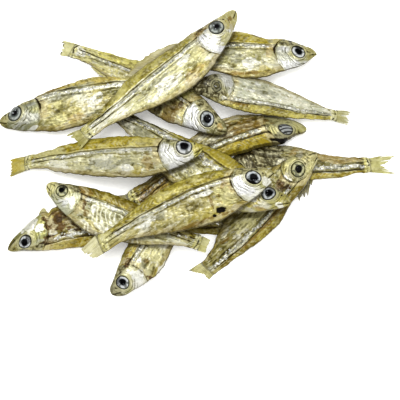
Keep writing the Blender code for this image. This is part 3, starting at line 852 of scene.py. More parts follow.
def fish_eye(fish, skin, seed, side):
    """An eyeball's front, set in its socket on one side of the head: a dome with a raised lens.

    Heights are in millimetres, u, v and r are places on the eye in its radii.
    """
    body = body_of(fish)
    eye = skin.eye
    r = np.linspace(0.0, 1.0, EYE_RINGS + 1)[1:, None]
    turn = (np.arange(EYE_SPOKES) * 2 * math.pi / EYE_SPOKES)[None, :]
    u, v = r * np.cos(turn), r * np.sin(turn)
    reach = eye.radius * (1.04 if side > 0 else 0.70)
    s = eye.s + u * reach
    across = (eye.a + v * reach * eye.roundness) * body
    out = skin_out(fish, skin, s, across)[0]
    dome = 0.30 * np.sqrt(np.clip(1 - r**2, 0, 1)) - 0.34
    lens = 0.10 * rise(r, 0.52, 0.40)
    wrinkle = 0.05 * noise(s * body / 0.9, across / 0.9, seed + 9, 2) * rise(r, 1.0, 0.8)
    points = placed(fish, s * body, across, (out + dome + lens + wrinkle) * side)
    middle = (np.array(eye.s * body), np.array(eye.a * body))
    top = skin_out(fish, skin, np.array(eye.s), middle[1])[0]
    pole = placed(fish, *middle, (top + 0.06) * side)
    low = placed(fish, *middle, (top - 1.0) * side)

    # The pupil is off centre and uneven, the iris streaked outwards, one side of the eye painted black as
    # shade, and catchlights painted on the lens.
    off_centre = np.hypot(u - eye.pupil[0] * (1 - r), v - eye.pupil[1] * (1 - r))
    uneven = 0.09 * noise(1.6 * u, 1.6 * v, seed + 50, 2) * rise(r, 1.0, 0.7)
    streaks = noise(2.6 * np.cos(turn), 2.6 * np.sin(turn), seed + 51, 2) + 0 * r
    side_turn = math.radians(eye.shade[0])
    to_shade = u * math.cos(side_turn) + v * math.sin(side_turn) + 0.15 * streaks
    masks = {
        "eye": off_centre + uneven,
        "iris": rise(0.35 * streaks + noise(2.2 * u, 2.2 * v, seed + 53, 2), 0.0, 0.55),
        "shade": rise(to_shade, 0.25, 0.62) * eye.shade[1],
        "glint": rise(noise(3.2 * u, 3.2 * v, seed + 52, 1), 0.50, 0.66) * rise(r, 0.55, 0.35),
    }
    fish_mm = np.stack([u, v, 0 * r * turn + seed], axis=-1).reshape(-1, 3)
    return {
        "points": np.concatenate([points.reshape(-1, 3), [pole, low]]),
        "faces": closed_faces(EYE_RINGS, EYE_SPOKES, fish.back * side > 0),
        "fish_mm": np.concatenate([fish_mm, [(0, 0, seed), (1, 0, seed)]]),
        "masks": {name: np.append(mask.ravel(), [0.0, 1.0 if name == "eye" else 0.0])
                  for name, mask in masks.items()},
        "slot": 1,
    }


def tail_fin_place(fish, seed, p, q):
    """Points of the tail fin's web, p from its lower to its upper edge and q from its root to its end."""
    body = body_of(fish)
    back, belly = outline_of(fish, np.array(1.0))[:2]
    widen = np.clip(q, 0.0, 1.0) ** 0.8
    upper = back + (fish.fan - back) * widen
    lower = belly + (-fish.fan - belly) * widen
    up_down = 2 * p - 1
    across = between(lower, upper, up_down)
    notch = fish.fork * (1 - np.abs(up_down))
    along = body + q * fish.fin * (1 - notch)
    wave = 0.34 * noise(p * 3.0, q * 1.4, seed + 11, 2) * np.clip(q, 0, 1)
    return along, across, wave + 0 * along


def tail_fin_rag(fish, seed, p):
    """How much of the tail fin's length is torn away at p."""
    rag = SKINS[fish.name].rag
    torn = (0.05 + 0.14 * rag) * (1 + noise(p * 5, 0 * p, seed + 12, 2))
    split = (0.15 + 0.75 * rag) * np.clip(noise(p * 9, 0 * p + 3, seed + 13, 2), 0, 1)
    return np.clip(torn + split, 0, 0.8)


def edge_fin_place(fin, fish, seed, p, q):
    """Points of a small fin, p along its root from front to rear and q from its root outwards."""
    body = body_of(fish)
    s = fin.start + (fin.end - fin.start) * p
    back, belly = outline_of(fish, s)[:2]
    reach = fin.height * np.sin(math.pi * np.clip(0.12 + 0.8 * p, 0, 1)) ** 0.7
    reach = reach * (1 + 0.45 * SKINS[fish.name].rag * noise(p * 9, 0 * p, seed + 14, 2))
    root = 0.5
    across = back - root + reach * q if fin.edge == "back" else belly + root - reach * q
    along = s * body + fin.sweep * q
    out = 0.35 * q * (1 + noise(p * 2.5, q, seed + 15, 1))
    return along, across, out + 0 * along


def web(fish, place, columns, rows, thickness, rag, slot, seed):
    """A thin closed sheet between two faces, such as a fin's web, torn at its free end by rag."""
    p = np.linspace(0.0, 1.0, columns)[None, :]
    q = np.linspace(-0.12, 1.0, rows)[:, None]
    reach = 1 - rag(p)
    along, across, out = place(p + 0 * q, np.where(q > 0, q * reach, q + 0 * p))
    ends = rise(q, 1.0, 0.8) * 0.6 + 0.4
    half = thickness / 2 * ends * (1 + 0.45 * np.cos(2 * math.pi * RAYS * p))
    sheets = [placed(fish, along, across, out + half), placed(fish, along, across, out - half)]
    count = rows * columns
    top = grid_faces(rows, columns, 0, False)
    under = [face[::-1] for face in grid_faces(rows, columns, count, False)]
    rim = list(range(columns))
    rim += [r * columns + columns - 1 for r in range(1, rows)]
    rim += [(rows - 1) * columns + k for k in range(columns - 2, -1, -1)]
    rim += [r * columns for r in range(rows - 2, 0, -1)]
    walls = [(b, a, a + count, b + count) for a, b in zip(rim, rim[1:] + rim[:1])]
    fish_mm = np.stack([along, across, 0 * along + seed], axis=-1).reshape(-1, 3)
    tip = np.broadcast_to(np.clip(q, 0, 1), along.shape).ravel()
    return {
        "points": np.concatenate([sheet.reshape(-1, 3) for sheet in sheets]),
        "faces": top + under + walls,
        "fish_mm": np.concatenate([fish_mm, fish_mm]),
        "masks": {"tip": np.append(tip, tip)},
        "slot": slot,
    }


def mesh_object(name, parts, materials):
    """One object from its parts, with their masks as attributes and a material for each slot."""
    mesh = bpy.data.meshes.new(name)
    points = np.concatenate([part["points"] for part in parts]) * MM
    faces, slots, start = [], [], 0
    for part in parts:
        faces += [[corner + start for corner in face] for face in part["faces"]]
        slots += [part["slot"]] * len(part["faces"])
        start += len(part["points"])
    mesh.from_pydata(points.tolist(), [], faces)
    mesh.polygons.foreach_set("material_index", slots)
    for mask in sorted({mask for part in parts for mask in part["masks"]}):
        values = [part["masks"].get(mask, np.zeros(len(part["points"]))) for part in parts]
        layer = mesh.attributes.new(mask, "FLOAT", "POINT")
        layer.data.foreach_set("value", np.concatenate(values).astype(np.float32))
    layer = mesh.attributes.new("fish_mm", "FLOAT_VECTOR", "POINT")
    fish_mm = np.concatenate([part["fish_mm"] for part in parts]).astype(np.float32)
    layer.data.foreach_set("vector", fish_mm.ravel())
    for material in materials:
        mesh.materials.append(material)
    mesh.shade_smooth()
    mesh.validate()
    made = bpy.data.objects.new(name, mesh)
    bpy.context.scene.collection.objects.link(made)
    return made


def node(tree, kind, inputs=None, **settings):
    """Adds a node with its settings. Each input is a value, or another node's output to link from."""
    made = tree.nodes.new(kind)
    for name, value in settings.items():
        setattr(made, name, value)
    for socket, value in (inputs or {}).items():
        if isinstance(value, bpy.types.NodeSocket):
            tree.links.new(value, made.inputs[socket])
        else:
            made.inputs[socket].default_value = value
    return made


def new_material(name, settings):
    """A material with its node tree and its Principled shader, which takes the settings."""
    material = bpy.data.materials.new(name)
    material.use_nodes = True
    shader = material.node_tree.nodes["Principled BSDF"]
    for socket, value in settings.items():
        shader.inputs[socket].default_value = value
    return material, material.node_tree, shader


def mask_of(tree, name):
    """The value of a mask that the mesh carries."""
    return node(tree, "ShaderNodeAttribute", attribute_name=name).outputs["Fac"]


def place_on_fish(tree):
    """The place that a mesh carries: millimetres along and across, or eye radii, and the fish's seed."""
    return node(tree, "ShaderNodeAttribute", attribute_name="fish_mm").outputs["Vector"]


def result_of(tree, operation, *values):
    """What an operation makes of its values."""
    return node(tree, "ShaderNodeMath", dict(enumerate(values)), operation=operation).outputs[0]


def blend(tree, under, over, share, mode="MIX"):
    """One colour laid over another by a share from 0 to 1."""
    mixed = node(tree, "ShaderNodeMix", {"Factor": share}, data_type="RGBA", blend_type=mode)
    for socket, colour in ((mixed.inputs[6], under), (mixed.inputs[7], over)):
        if isinstance(colour, bpy.types.NodeSocket):
            tree.links.new(colour, socket)
        else:
            socket.default_value = own_colour(colour)
    return mixed.outputs[2]


def speckle(tree, place, across, detail, stretch=(1.0, 1.0, 1.0)):
    """Noise from 0 to 1 whose lumps are about that far across, in the unit of its place."""
    shape = node(tree, "ShaderNodeMapping", {"Vector": place, "Scale": stretch})
    inputs = {"Vector": shape.outputs["Vector"], "Scale": 0.5 / across, "Detail": detail}
    return node(tree, "ShaderNodeTexNoise", inputs).outputs["Fac"]


def ranged(tree, value, low, high, to_low=0.0, to_high=1.0):
    """The value's range from low to high, made to_low to to_high, smoothly."""
    inputs = {"Value": value, "From Min": low, "From Max": high, "To Min": to_low, "To Max": to_high}
    return node(tree, "ShaderNodeMapRange", inputs, interpolation_type="SMOOTHSTEP").outputs["Result"]


def frayed(tree, mask, grain, fray, strength):
    """A mask whose edge is broken up by a grain, the more the higher its fray, up to its strength."""
    shifted = result_of(tree, "MULTIPLY_ADD", grain, fray, mask)
    return ranged(tree, shifted, 0.3 + fray / 2, 0.7 + fray / 2, 0.0, strength)


def bumped(tree, shader, *layers):
    """Bumps one on another, each from its value, its strength and its height in millimetres."""
    inputs = {}
    for value, strength, height in layers:
        bump = node(tree, "ShaderNodeBump", {
            "Height": value, "Strength": strength, "Distance": height * MM, **inputs})
        inputs = {"Normal": bump.outputs["Normal"]}
    tree.links.new(bump.outputs["Normal"], shader.inputs["Normal"])


def tinted(tree, under, *layers):
    """A colour with others laid over it, each as its value runs from low to high, up to its strength."""
    for over, value, low, high, strength in layers:
        under = blend(tree, under, over, ranged(tree, value, low, high, 0.0, strength))
    return under


def patched(tree, under, *layers):
    """A colour with others laid over it, each inside a mask whose edge is frayed, up to its strength."""
    for over, mask, grain, fray, strength in layers:
        under = blend(tree, under, over, frayed(tree, mask_of(tree, mask), grain, fray, strength))
    return under


def dried_skin(fish, skin):
    """Sun-dried charal skin: a foil of small silver scales shrunk over straw-coloured flesh.

    To the eye it is half metal and half parchment: a golden back, a bright crinkled band, a mottled
    flank of silver and cream with brown in the creases, and a white, nearly metallic gill cover.
    """
    material, tree, shader = new_material(fish.name + "_skin", {"Specular IOR Level": 0.12})
    place = place_on_fish(tree)
    silk = speckle(tree, place, 3.6, 2.0, (0.55, 1.0, 1.0))
    pearl = speckle(tree, place, 1.9, 3.5, (0.65, 1.0, 1.0))
    flake = speckle(tree, place, 0.8, 3.0, (0.8, 1.0, 1.0))
    streak = speckle(tree, place, 0.65, 3.0, (0.55, 1.1, 1.0))
    beaded = speckle(tree, place, 0.7, 1.0, (0.9, 1.2, 1.0))
    foil_lines = speckle(tree, place, 0.5, 2.0, (0.14, 1.0, 1.0))
    grain = speckle(tree, place, 0.40, 2.0)
    cells = node(tree, "ShaderNodeMapping", {"Vector": place, "Scale": (0.75, 1.15, 1.0)})
    scales = node(tree, "ShaderNodeTexVoronoi", {
        "Vector": cells.outputs["Vector"], "Scale": 1 / SCALE_WIDTH})
    glitter = node(tree, "ShaderNodeSeparateColor", {"Color": scales.outputs["Color"]}).outputs["Red"]
    clustered = result_of(tree, "ADD", streak, pearl)
    flank_shine = min(1.0, 0.2 + linear(skin.flank)[1])
    back_shine = min(1.0, 0.3 + linear(skin.back)[1])
    plate_shine = linear(skin.plate)[1]

    # The flank is mottled, with pale ribs under the skin. Its white clusters and bright scale cells are
    # painted glints, and it is painted darker towards the belly's edge as shade.
    colour = tinted(
        tree, skin.flank,
        (skin.belly, silk, 0.42, 0.58, 1.0),
        ("fdfbec", pearl, 0.52, 0.62, 0.75 * flank_shine),
        ("857c48", pearl, 0.46, 0.36, 0.72 - 0.55 * flank_shine),
        ("b3a468", flake, 0.55, 0.66, 0.26),
        ("fffdec", clustered, 1.05, 1.15, flank_shine),
        ("6b6438", clustered, 0.94, 0.82, 1.0 - 0.85 * flank_shine),
        ("fffef6", glitter, 0.78, 0.95, 0.5 * flank_shine),
        ("5f5424", glitter, 0.18, 0.04, 0.25))
    # Painted shade, darker towards the belly's edge.
    colour = patched(tree, colour, ("a08c58", "rim", pearl, 0.8, 0.6))
    colour = tinted(tree, colour, ("fbfae8", mask_of(tree, "ribs"), 0.3, 0.9, 0.75))

    # The back is golden to olive and shows its muscle segments; its bright scale cells are painted glints.
    # Cream borders it below.
    golden = tinted(
        tree, skin.back,
        ("e8dc8e", flake, 0.53, 0.63, 0.8 * back_shine),
        ("6b5d14", flake, 0.47, 0.37, 0.75),
        ("f4ecb4", pearl, 0.55, 0.63, 0.7 * back_shine),
        ("7a6a18", pearl, 0.45, 0.34, 0.4),
        ("6b5d14", foil_lines, 0.44, 0.34, 0.5),
        ("f7f0bc", glitter, 0.78, 0.95, 0.35 * back_shine),
        ("54470e", glitter, 0.25, 0.05, 0.5),
        ("5f510f", mask_of(tree, "segments"), 0.2, 1.0, 0.25))
    cream = tinted(tree, "d9cb96", ("f7f0cc", flake, 0.45, 0.60, 1.0))

    # The band is foil, crinkled lengthwise, or a chain of scales with dark gaps.
    silver = tinted(
        tree, "c3c4b8",
        ("fdfdfa", grain, 0.42, 0.60, 1.0),
        ("3f4038", beaded, 0.50, 0.42, 0.9 * skin.chain),
        ("2f3028", glitter, 0.35, 0.15, 0.9 * skin.chain),
        ("73766a", foil_lines, 0.47, 0.38, 0.8),
        ("ffffff", foil_lines, 0.53, 0.60, 0.8 - 0.5 * skin.chain))

    # The head's bones and covers, and the thickened root of the tail fin.
    shoulder = tinted(tree, "a58f66", ("c9bb94", flake, 0.42, 0.60, 1.0))
    face = tinted(
        tree, "b3b088",
        (skin.plate, pearl, 0.42, 0.56, 1.0),
        ("6e6a46", flake, 0.46, 0.36, 0.75),
        ("f6f5e6", flake, 0.54, 0.64, 0.8 * plate_shine))
    crown = tinted(tree, "4f4a32", ("a8a07c", flake, 0.42, 0.60, 1.0))
    snout = tinted(
        tree, skin.snout,
        ("5c5534", flake, 0.47, 0.36, 0.7),
        ("f3efd6", grain, 0.56, 0.68, 0.5))
    cover = tinted(
        tree, skin.plate,
        ("a8a27a", pearl, 0.46, 0.36, 0.6),
        ("ffffff", pearl, 0.48, 0.58, plate_shine))
    knuckle = tinted(tree, "cfc88e", ("f4f1cf", flake, 0.44, 0.58, 1.0))

    colour = patched(
        tree, colour,
        (golden, "back", grain, 0.3, 1.0),
        (cream, "cream", flake, 0.4, 0.9),
        (silver, "silver", grain, 0.5, 1.0),
        (shoulder, "shoulder", flake, 0.6, 0.75),
        (face, "cheek", grain, 0.3, 1.0),
        (crown, "crown", grain, 0.4, 1.0),
        (snout, "snout", flake, 0.8, 1.0),
        (cover, "cover", pearl, 0.8, 1.0),
        ("b9b89c", "lip", flake, 0.8, 0.6))
    colour = tinted(tree, colour, ("625e38", mask_of(tree, "arcs"), 0.05, 0.65, 0.9))
    colour = patched(tree, colour, (knuckle, "knuckle", flake, 0.4, 0.9))
    kinds = sorted({mark[0] for mark in skin.marks} - {"hole"}, key=list(MARK_COLOURS).index)
    colour = patched(tree, colour, *(
        (MARK_COLOURS[kind], kind, pearl, 0.8, MARK_STRENGTH[kind]) for kind in kinds))

    # Ridges are painted paler, part wear and part painted highlight. Hollows, creases, the outline and what
    # lies under another fish are painted brown as shade.
    colour = blend(tree, colour, "f3edcc", result_of(tree, "MULTIPLY", mask_of(tree, "high"), 0.40))
    colour = blend(tree, colour, "d6cda4", mask_of(tree, "low"), "MULTIPLY")
    colour = tinted(tree, colour, ("2a2009", mask_of(tree, "crease"), 0.15, 0.95, 0.95))
    colour = patched(tree, colour, ("4f421c", "edge", flake, 0.5, 0.75))
    # Painted shadow where another fish lies on this one.
    colour = tinted(tree, colour, ("46371a", mask_of(tree, "contact"), 0.25, 1.0, 0.55))
    # Holes are painted black as their shade.
    colour = patched(tree, colour, (MARK_COLOURS["hole"], "hole", flake, 0.9, 1.0))
    tree.links.new(colour, shader.inputs["Base Color"])

    # Foil is the most metallic. Creases and holes, painted dark as shade, are made so too, which keeps them
    # dark.
    foil = result_of(tree, "MAXIMUM", mask_of(tree, "silver"), mask_of(tree, "cover"))
    sunken = result_of(tree, "ADD", mask_of(tree, "crease"), mask_of(tree, "hole"))
    metallic = ranged(tree, result_of(tree, "MAXIMUM", foil, sunken), 0.0, 1.0, 0.30, 0.60)
    tree.links.new(metallic, shader.inputs["Metallic"])
    tree.links.new(ranged(tree, grain, 0.3, 0.7, 0.26, 0.46), shader.inputs["Roughness"])
    bumped(tree, shader, (glitter, 0.5, 0.06), (flake, 0.7, 0.18), (grain, 0.8, 0.10))
    return material


# Colours of a dried eye from its middle outwards, by the state of its lens, how strong its painted
# catchlights are, and how closely a streaked one is lined (radians per eye radius).
EYE_COLOURS = {
    "clear": [(0.0, "010101"), (0.45, "020202"), (0.51, "74797b"), (0.62, "d5d8d8"), (0.76, "eef0ee"),
              (0.84, "8f918a"), (0.91, "0b0a08"), (1.0, "3a372a")],
    "golden": [(0.0, "010101"), (0.42, "020202"), (0.48, "7f7e62"), (0.60, "dedcc0"), (0.78, "cfcda8"),
               (0.87, "7a7856"), (0.92, "100f0a"), (1.0, "6a6644")],
    "glinting": [(0.0, "010101"), (0.49, "020202"), (0.54, "6f777a"), (0.64, "dfe4e6"), (0.76, "d2d6d4"),
                 (0.84, "6d6f6a"), (0.91, "060504"), (1.0, "3a372a")],
    "clouded": [(0.0, "101112"), (0.22, "060606"), (0.38, "3c413f"), (0.55, "838b87"), (0.72, "ccd1cc"),
                (0.83, "7c817a"), (0.91, "0b0a08"), (1.0, "4a4736")],
    "streaked": [(0.0, "9fa2a2"), (0.78, "b3b6b3"), (0.90, "2a2820"), (1.0, "14120d")],
    "sunken": [(0.0, "3a3626"), (0.30, "77735c"), (0.50, "2c2818"), (0.75, "a5a18a"), (1.0, "6a6448")],
}
EYE_STREAKS = 13.5
EYE_CATCHLIGHTS = {
    "clear": 0.1, "golden": 0.1, "glinting": 0.9, "clouded": 0.9, "streaked": 0.0, "sunken": 0.8,
}


def dried_eye(fish, skin):
    """A dried eye: a black pupil in a silver ring, in a black socket, dulled by its shrunken cornea."""
    lens = skin.eye.lens
    material, tree, shader = new_material(
        fish.name + "_eye", {"Roughness": 0.30, "Specular IOR Level": 0.02})
    ramp = node(tree, "ShaderNodeValToRGB", {"Fac": mask_of(tree, "eye")})
    stops = EYE_COLOURS[lens]
    bands = ramp.color_ramp.elements
    while len(bands) < len(stops):
        bands.new(0.5)
    for element, (position, colour) in zip(bands, stops):
        element.position = position
        element.color = own_colour(colour)
    in_iris = ranged(tree, mask_of(tree, "eye"), 0.40, 0.55)
    tone = tinted(
        tree, ramp.outputs["Color"],
        ("55584f", result_of(tree, "MULTIPLY", mask_of(tree, "iris"), in_iris), 0.0, 1.0, 0.8),
        # White specks on the lens are painted catchlights.
        ("cfd4d6", mask_of(tree, "glint"), 0.0, 1.0, EYE_CATCHLIGHTS[lens]))
    if lens == "streaked":
        height = node(tree, "ShaderNodeSeparateXYZ", {"Vector": place_on_fish(tree)}).outputs["Y"]
        wave = result_of(tree, "SINE", result_of(tree, "MULTIPLY", height, EYE_STREAKS))
        tone = tinted(tree, tone, ("1b1c1c", wave, -0.1, 0.6, 0.9))
    # One side of the eye is painted black as shade.
    tone = blend(tree, tone, "0c0b09", mask_of(tree, "shade"))
    tree.links.new(tone, shader.inputs["Base Color"])
    return material


def fin_web(name, colour):
    """A dried fin's web: stiff amber membrane, brighter between its rays and darker at its torn end."""
    material, tree, shader = new_material(name + "_web", {"Roughness": 0.40})
    place = place_on_fish(tree)
    flake = speckle(tree, place, 0.9, 3.0, (0.4, 1.0, 1.0))
    lines = speckle(tree, place, 0.6, 2.0, (0.15, 1.0, 1.0))
    paleness = linear(colour)[2]
    tone = tinted(
        tree, colour,
        ("f4efc2", flake, 0.52, 0.64, paleness + 0.2),
        ("83772c", flake, 0.46, 0.34, 0.6),
        ("7d7234", lines, 0.47, 0.37, 0.8 - 0.6 * paleness),
        ("fbf8d8", lines, 0.54, 0.62, paleness),
        ("2b2610", result_of(tree, "MULTIPLY_ADD", flake, 0.12, mask_of(tree, "tip")), 0.14, 0.08, 0.9))
    tree.links.new(tone, shader.inputs["Base Color"])
    bumped(tree, shader, (flake, 0.5, 0.08))
    return material


def fin_ray_horn():
    """Fin rays: thin jointed rods of dried horn, pale yellow with olive joints."""
    material, tree, shader = new_material("fin_ray_horn", {"Roughness": 0.38})
    joints = speckle(tree, node(tree, "ShaderNodeTexCoord").outputs["Object"], 0.8 * MM, 2.0)
    tone = tinted(tree, "a39a55", ("e6e0ad", joints, 0.42, 0.6, 1.0))
    tree.links.new(tone, shader.inputs["Base Color"])
    return material


def silver_scale():
    """Loose silver scales: thin plates of guanine crystal, mirror-bright where they catch the light."""
    material, tree, shader = new_material("silver_scale", {"Metallic": 0.40, "Roughness": 0.28})
    patch = speckle(tree, node(tree, "ShaderNodeTexCoord").outputs["Object"], 0.7 * MM, 1.0)
    tone = tinted(tree, "c4c4b6", ("fbfbf6", patch, 0.42, 0.60, 1.0))
    tree.links.new(tone, shader.inputs["Base Color"])
    return material


def node_group(name, sizes):
    """A Geometry Nodes tree with a geometry in and out and named inputs for its sizes."""
    tree = bpy.data.node_groups.new(name, "GeometryNodeTree")
    tree.interface.new_socket("Geometry", in_out="INPUT", socket_type="NodeSocketGeometry")
    tree.interface.new_socket("Geometry", in_out="OUTPUT", socket_type="NodeSocketGeometry")
    for size, kind in sizes:
        tree.interface.new_socket(size, in_out="INPUT", socket_type=kind)
    return tree, tree.nodes.new("NodeGroupInput").outputs


def finish_tree(tree, geometry, material):
    """Ends a tree: the instances are made real and take their material."""
    real = node(tree, "GeometryNodeRealizeInstances", {"Geometry": geometry})
    dressed = node(tree, "GeometryNodeSetMaterial", {"Geometry": real.outputs[0], "Material": material})
    node(tree, "NodeGroupOutput", {"Geometry": dressed.outputs[0]})


def carried(tree, name, kind):
    """The values of an attribute that the guide points carry."""
    return node(tree, "GeometryNodeInputNamedAttribute", {"Name": name}, data_type=kind).outputs[0]


def ray_tree(material):
    """Sweeps a thin round rod along every chain of edges, tapered by the chain's own taper."""
    sizes = [("Ray thickness", "NodeSocketFloat"), ("Sides", "NodeSocketInt")]
    tree, given = node_group("fin_rays", sizes)
    chains = node(tree, "GeometryNodeMeshToCurve", {"Mesh": given["Geometry"]})
    taper = carried(tree, "taper", "FLOAT")
    half = result_of(tree, "MULTIPLY", given["Ray thickness"], 0.5)
    radius = result_of(tree, "MULTIPLY", taper, half)
    sized = node(tree, "GeometryNodeSetCurveRadius", {"Curve": chains.outputs[0], "Radius": radius})
    circle = node(tree, "GeometryNodeCurvePrimitiveCircle", {"Resolution": given["Sides"], "Radius": 1.0})
    rods = node(tree, "GeometryNodeCurveToMesh", {
        "Curve": sized.outputs[0], "Profile Curve": circle.outputs[0], "Fill Caps": True})
    if "Scale" in rods.inputs:
        tree.links.new(radius, rods.inputs["Scale"])
    finish_tree(tree, rods.outputs[0], material)
    return tree


def scale_tree(material):
    """Sets a thin scale on every point, facing out of the skin and lapped towards the tail."""
    sizes = [("Scale width", "NodeSocketFloat"), ("Scale thickness", "NodeSocketFloat"),
             ("Seed", "NodeSocketInt")]
    tree, given = node_group("silver_scales", sizes)
    half = result_of(tree, "MULTIPLY", given["Scale width"], 0.5)
    plate = node(tree, "GeometryNodeMeshCylinder", {
        "Vertices": SCALE_CORNERS, "Radius": half, "Depth": given["Scale thickness"]})
    facing, heading = (carried(tree, name, "FLOAT_VECTOR") for name in ("facing", "heading"))
    upright = node(tree, "FunctionNodeAlignRotationToVector", {"Vector": facing}, axis="Z")
    turned = node(tree, "FunctionNodeAlignRotationToVector", {
        "Rotation": upright.outputs[0], "Vector": heading}, axis="X", pivot_axis="Z")
    tilt = node(tree, "FunctionNodeRandomValue", {
        "Min": (-0.12, 0.0, -0.5), "Max": (0.12, 0.16, 0.5), "Seed": given["Seed"]},
        data_type="FLOAT_VECTOR")
    loose = node(tree, "FunctionNodeEulerToRotation", {0: tilt.outputs[0]})
    both = node(tree, "FunctionNodeRotateRotation", {
        "Rotation": turned.outputs[0], "Rotate By": loose.outputs[0]}, rotation_space="LOCAL")
    sizes_of = node(tree, "FunctionNodeRandomValue", {
        "Min": (0.7, 0.6, 1.0), "Max": (1.3, 1.0, 1.0), "Seed": given["Seed"]}, data_type="FLOAT_VECTOR")
    scales = node(tree, "GeometryNodeInstanceOnPoints", {
        "Points": given["Geometry"], "Instance": plate.outputs["Mesh"], "Rotation": both.outputs[0],
        "Scale": sizes_of.outputs[0]})
    finish_tree(tree, scales.outputs[0], material)
    return tree


def grown(name, points, edges, attributes, tree, settings):
    """The plain mesh that a tree makes from guide points, as one object."""
    guide = bpy.data.meshes.new(name + "_guide")
    guide.from_pydata((np.asarray(points) * MM).tolist(), edges, [])
    for attribute, values in attributes.items():
        values = np.asarray(values, np.float32)
        kind, field = ("FLOAT", "value") if values.ndim == 1 else ("FLOAT_VECTOR", "vector")
        guide.attributes.new(attribute, kind, "POINT").data.foreach_set(field, values.ravel())
    carrier = bpy.data.objects.new(name + "_guide", guide)
    bpy.context.scene.collection.objects.link(carrier)
    modifier = carrier.modifiers.new("grow", "NODES")
    modifier.node_group = tree
    for item in tree.interface.items_tree:
        if item.in_out == "INPUT" and item.name in settings:
            modifier[item.identifier] = settings[item.name]
    evaluated = carrier.evaluated_get(bpy.context.evaluated_depsgraph_get())
    mesh = bpy.data.meshes.new_from_object(evaluated)
    mesh.name = name
    bpy.data.objects.remove(carrier)
    made = bpy.data.objects.new(name, mesh)
    bpy.context.scene.collection.objects.link(made)
    return made


def fin_rays():
    """The rays of every fin, standing proud of their webs and out past their torn ends."""
    points, edges, tapers = [], [], []

    def ray(fish, place, p, q_end):
        q = np.linspace(-0.05, q_end, RAY_POINTS)
        along, across, out = place(p + 0 * q, q)
        start = len(points)
        points.extend(placed(fish, along, across, out + 0.05))
        edges.extend((start + i, start + i + 1) for i in range(len(q) - 1))
        tapers.extend(1.0 - 0.6 * np.linspace(0, 1, len(q)))

    for number, fish in enumerate(HEAP):
        seed = number * SEED_STEP
        rng = np.random.default_rng(seed + 16)
        for i in range(RAYS):
            p = (i + 0.5) / RAYS
            rag = float(tail_fin_rag(fish, seed, np.array(p)))
            end = 1 - rag + rng.uniform(0.0, 0.9) * rag
            ray(fish, lambda p, q: tail_fin_place(fish, seed, p, q), p, end)
    for fin in EDGE_FINS:
        number, fish = next((n, f) for n, f in enumerate(HEAP) if f.name == fin.fish)
        seed = number * SEED_STEP
        for i in range(EDGE_RAYS):
            p = (i + 0.5) / EDGE_RAYS
            ray(fish, lambda p, q: edge_fin_place(fin, fish, seed, p, q), p, 1.0)
    tree = ray_tree(fin_ray_horn())
    return grown("fin_rays", points, edges, {"taper": tapers}, tree,
                 {"Ray thickness": RAY_THICKNESS * MM, "Sides": RAY_SIDES})


def silver_scales():
    """Loose scales along the silver band of every fish and in its bright patches."""
    points, facings, headings = [], [], []
    step = 0.1
    for number, fish in enumerate(HEAP):
        skin = SKINS[fish.name]
        seed = number * SEED_STEP
        rng = np.random.default_rng(seed + 17)
        body = body_of(fish)
        count = int(body * (1.0 + 4.5 * skin.chain))
        s = rng.uniform(skin.cover + 0.02, 0.96, count)
        a = line_height(skin, s) + rng.normal(0.0, 0.45 * skin.band, count)
        for kind, middle_s, middle_a, half_length, half_height, _ in skin.marks:
            if kind == "white" and middle_s > skin.cover:
                more = int(half_length * half_height * body**2 * 3.0)
                s = np.append(s, middle_s + half_length * rng.normal(0, 0.5, more))
                a = np.append(a, middle_a + half_height * rng.normal(0, 0.5, more))
        keep = noise(s * body / 2.0, a * body / 2.0, seed + 18, 1) > 0.0
        x, y = (s * body)[keep], (a * body)[keep]

        def on_skin(along, across):
            out, side = skin_out(fish, skin, along / body, across)
            height = skin_relief(fish, skin, seed, along / body, across)[0]
            return placed(fish, along, across, out + height * np.sqrt(side))

        middle = on_skin(x, y)
        heading = on_skin(x + step, y) - middle
        sideways = on_skin(x, y + step) - middle
        facing = np.cross(heading, sideways)
        facing *= np.sign(facing[:, 2:3])
        points.extend(middle)
        headings.extend(heading / np.linalg.norm(heading, axis=1, keepdims=True))
        facings.extend(facing / np.linalg.norm(facing, axis=1, keepdims=True))
    tree = scale_tree(silver_scale())
    return grown("silver_scales", points, [], {"facing": facings, "heading": headings}, tree,
                 {"Scale width": SCALE_WIDTH * MM, "Scale thickness": SCALE_THICKNESS * MM, "Seed": 5})


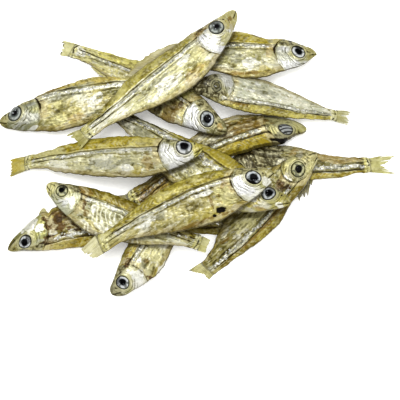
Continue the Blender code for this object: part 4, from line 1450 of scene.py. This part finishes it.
def dressed_fish(number, fish):
    """One fish with its skin, eyes and fin webs, in place of its solid."""
    skin = SKINS[fish.name]
    seed = number * SEED_STEP
    parts = [fish_body(fish, skin, seed)]
    parts += [fish_eye(fish, skin, seed, side) for side in (1, -1)]
    materials = [dried_skin(fish, skin), dried_eye(fish, skin), fin_web(fish.name, skin.fin)]
    parts.append(web(
        fish, lambda p, q: tail_fin_place(fish, seed, p, q), *TAIL_WEB,
        lambda p: tail_fin_rag(fish, seed, p), len(materials) - 1, seed))
    for fin in EDGE_FINS:
        if fin.fish == fish.name:
            materials.append(fin_web(fish.name + "_" + fin.edge + "_fin", fin.colour))
            parts.append(web(
                fish, lambda p, q: edge_fin_place(fin, fish, seed, p, q), *EDGE_WEB,
                lambda p: 0.12 * (1 + noise(p * 9, 0 * p, seed + 19, 2)), len(materials) - 1, seed))
    made = mesh_object(fish.name + "_dressed", parts, materials)
    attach(made, "root")
    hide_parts(fish.name)
    return made


def pale_floor():
    """A matt white table, lit a little from below so that the shadows on it stay faint."""
    bpy.ops.mesh.primitive_plane_add(size=FLOOR_SIZE, location=(0, 0, -FLOOR_DROP))
    floor = bpy.context.object
    floor.name = "floor"
    floor.data.materials.append(new_material("matt_white_table", {
        "Base Color": linear("fbfbf9"), "Roughness": 0.9,
        "Emission Color": linear("ffffff"), "Emission Strength": 0.25})[0])


def soft_light():
    """A wide soft box overhead, a low fill, and an evenly lit white room."""
    world = bpy.data.worlds.new("white_room")
    world.use_nodes = True
    background = world.node_tree.nodes["Background"]
    background.inputs["Color"].default_value = linear("ffffff")
    background.inputs["Strength"].default_value = 0.85
    bpy.context.scene.world = world
    for name, place, size, power in (
        ("soft_box", (-0.06, 0.14, 0.70), 0.50, 6.4),
        ("fill", (0.30, -0.45, 0.40), 0.50, 1.5),
    ):
        light = bpy.data.lights.new(name, "AREA")
        light.size = size
        light.energy = power
        lamp = bpy.data.objects.new(name, light)
        lamp.location = place
        lamp.rotation_euler = (-Vector(place)).to_track_quat("-Z", "Y").to_euler()
        bpy.context.scene.collection.objects.link(lamp)


def photo_camera():
    """The camera, high over the front edge of the heap."""
    camera = bpy.data.cameras.new("camera")
    camera.sensor_width = SENSOR
    camera.lens = SENSOR * CAMERA_DISTANCE / VIEW_WIDTH
    back = Vector((0.0, -math.cos(CAMERA_ELEVATION), math.sin(CAMERA_ELEVATION)))
    holder = bpy.data.objects.new("camera", camera)
    holder.location = VIEW_TARGET + back * CAMERA_DISTANCE
    holder.rotation_euler = (-back).to_track_quat("-Z", "Y").to_euler()
    camera.clip_start, camera.clip_end = 0.01, 10.0
    bpy.context.scene.collection.objects.link(holder)
    bpy.context.scene.camera = holder


for number, fish in enumerate(HEAP):
    dressed_fish(number, fish)
for piece in (fin_rays(), silver_scales()):
    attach(piece, "root")
pale_floor()
soft_light()
photo_camera()
bpy.context.scene.view_settings.view_transform = "Standard"
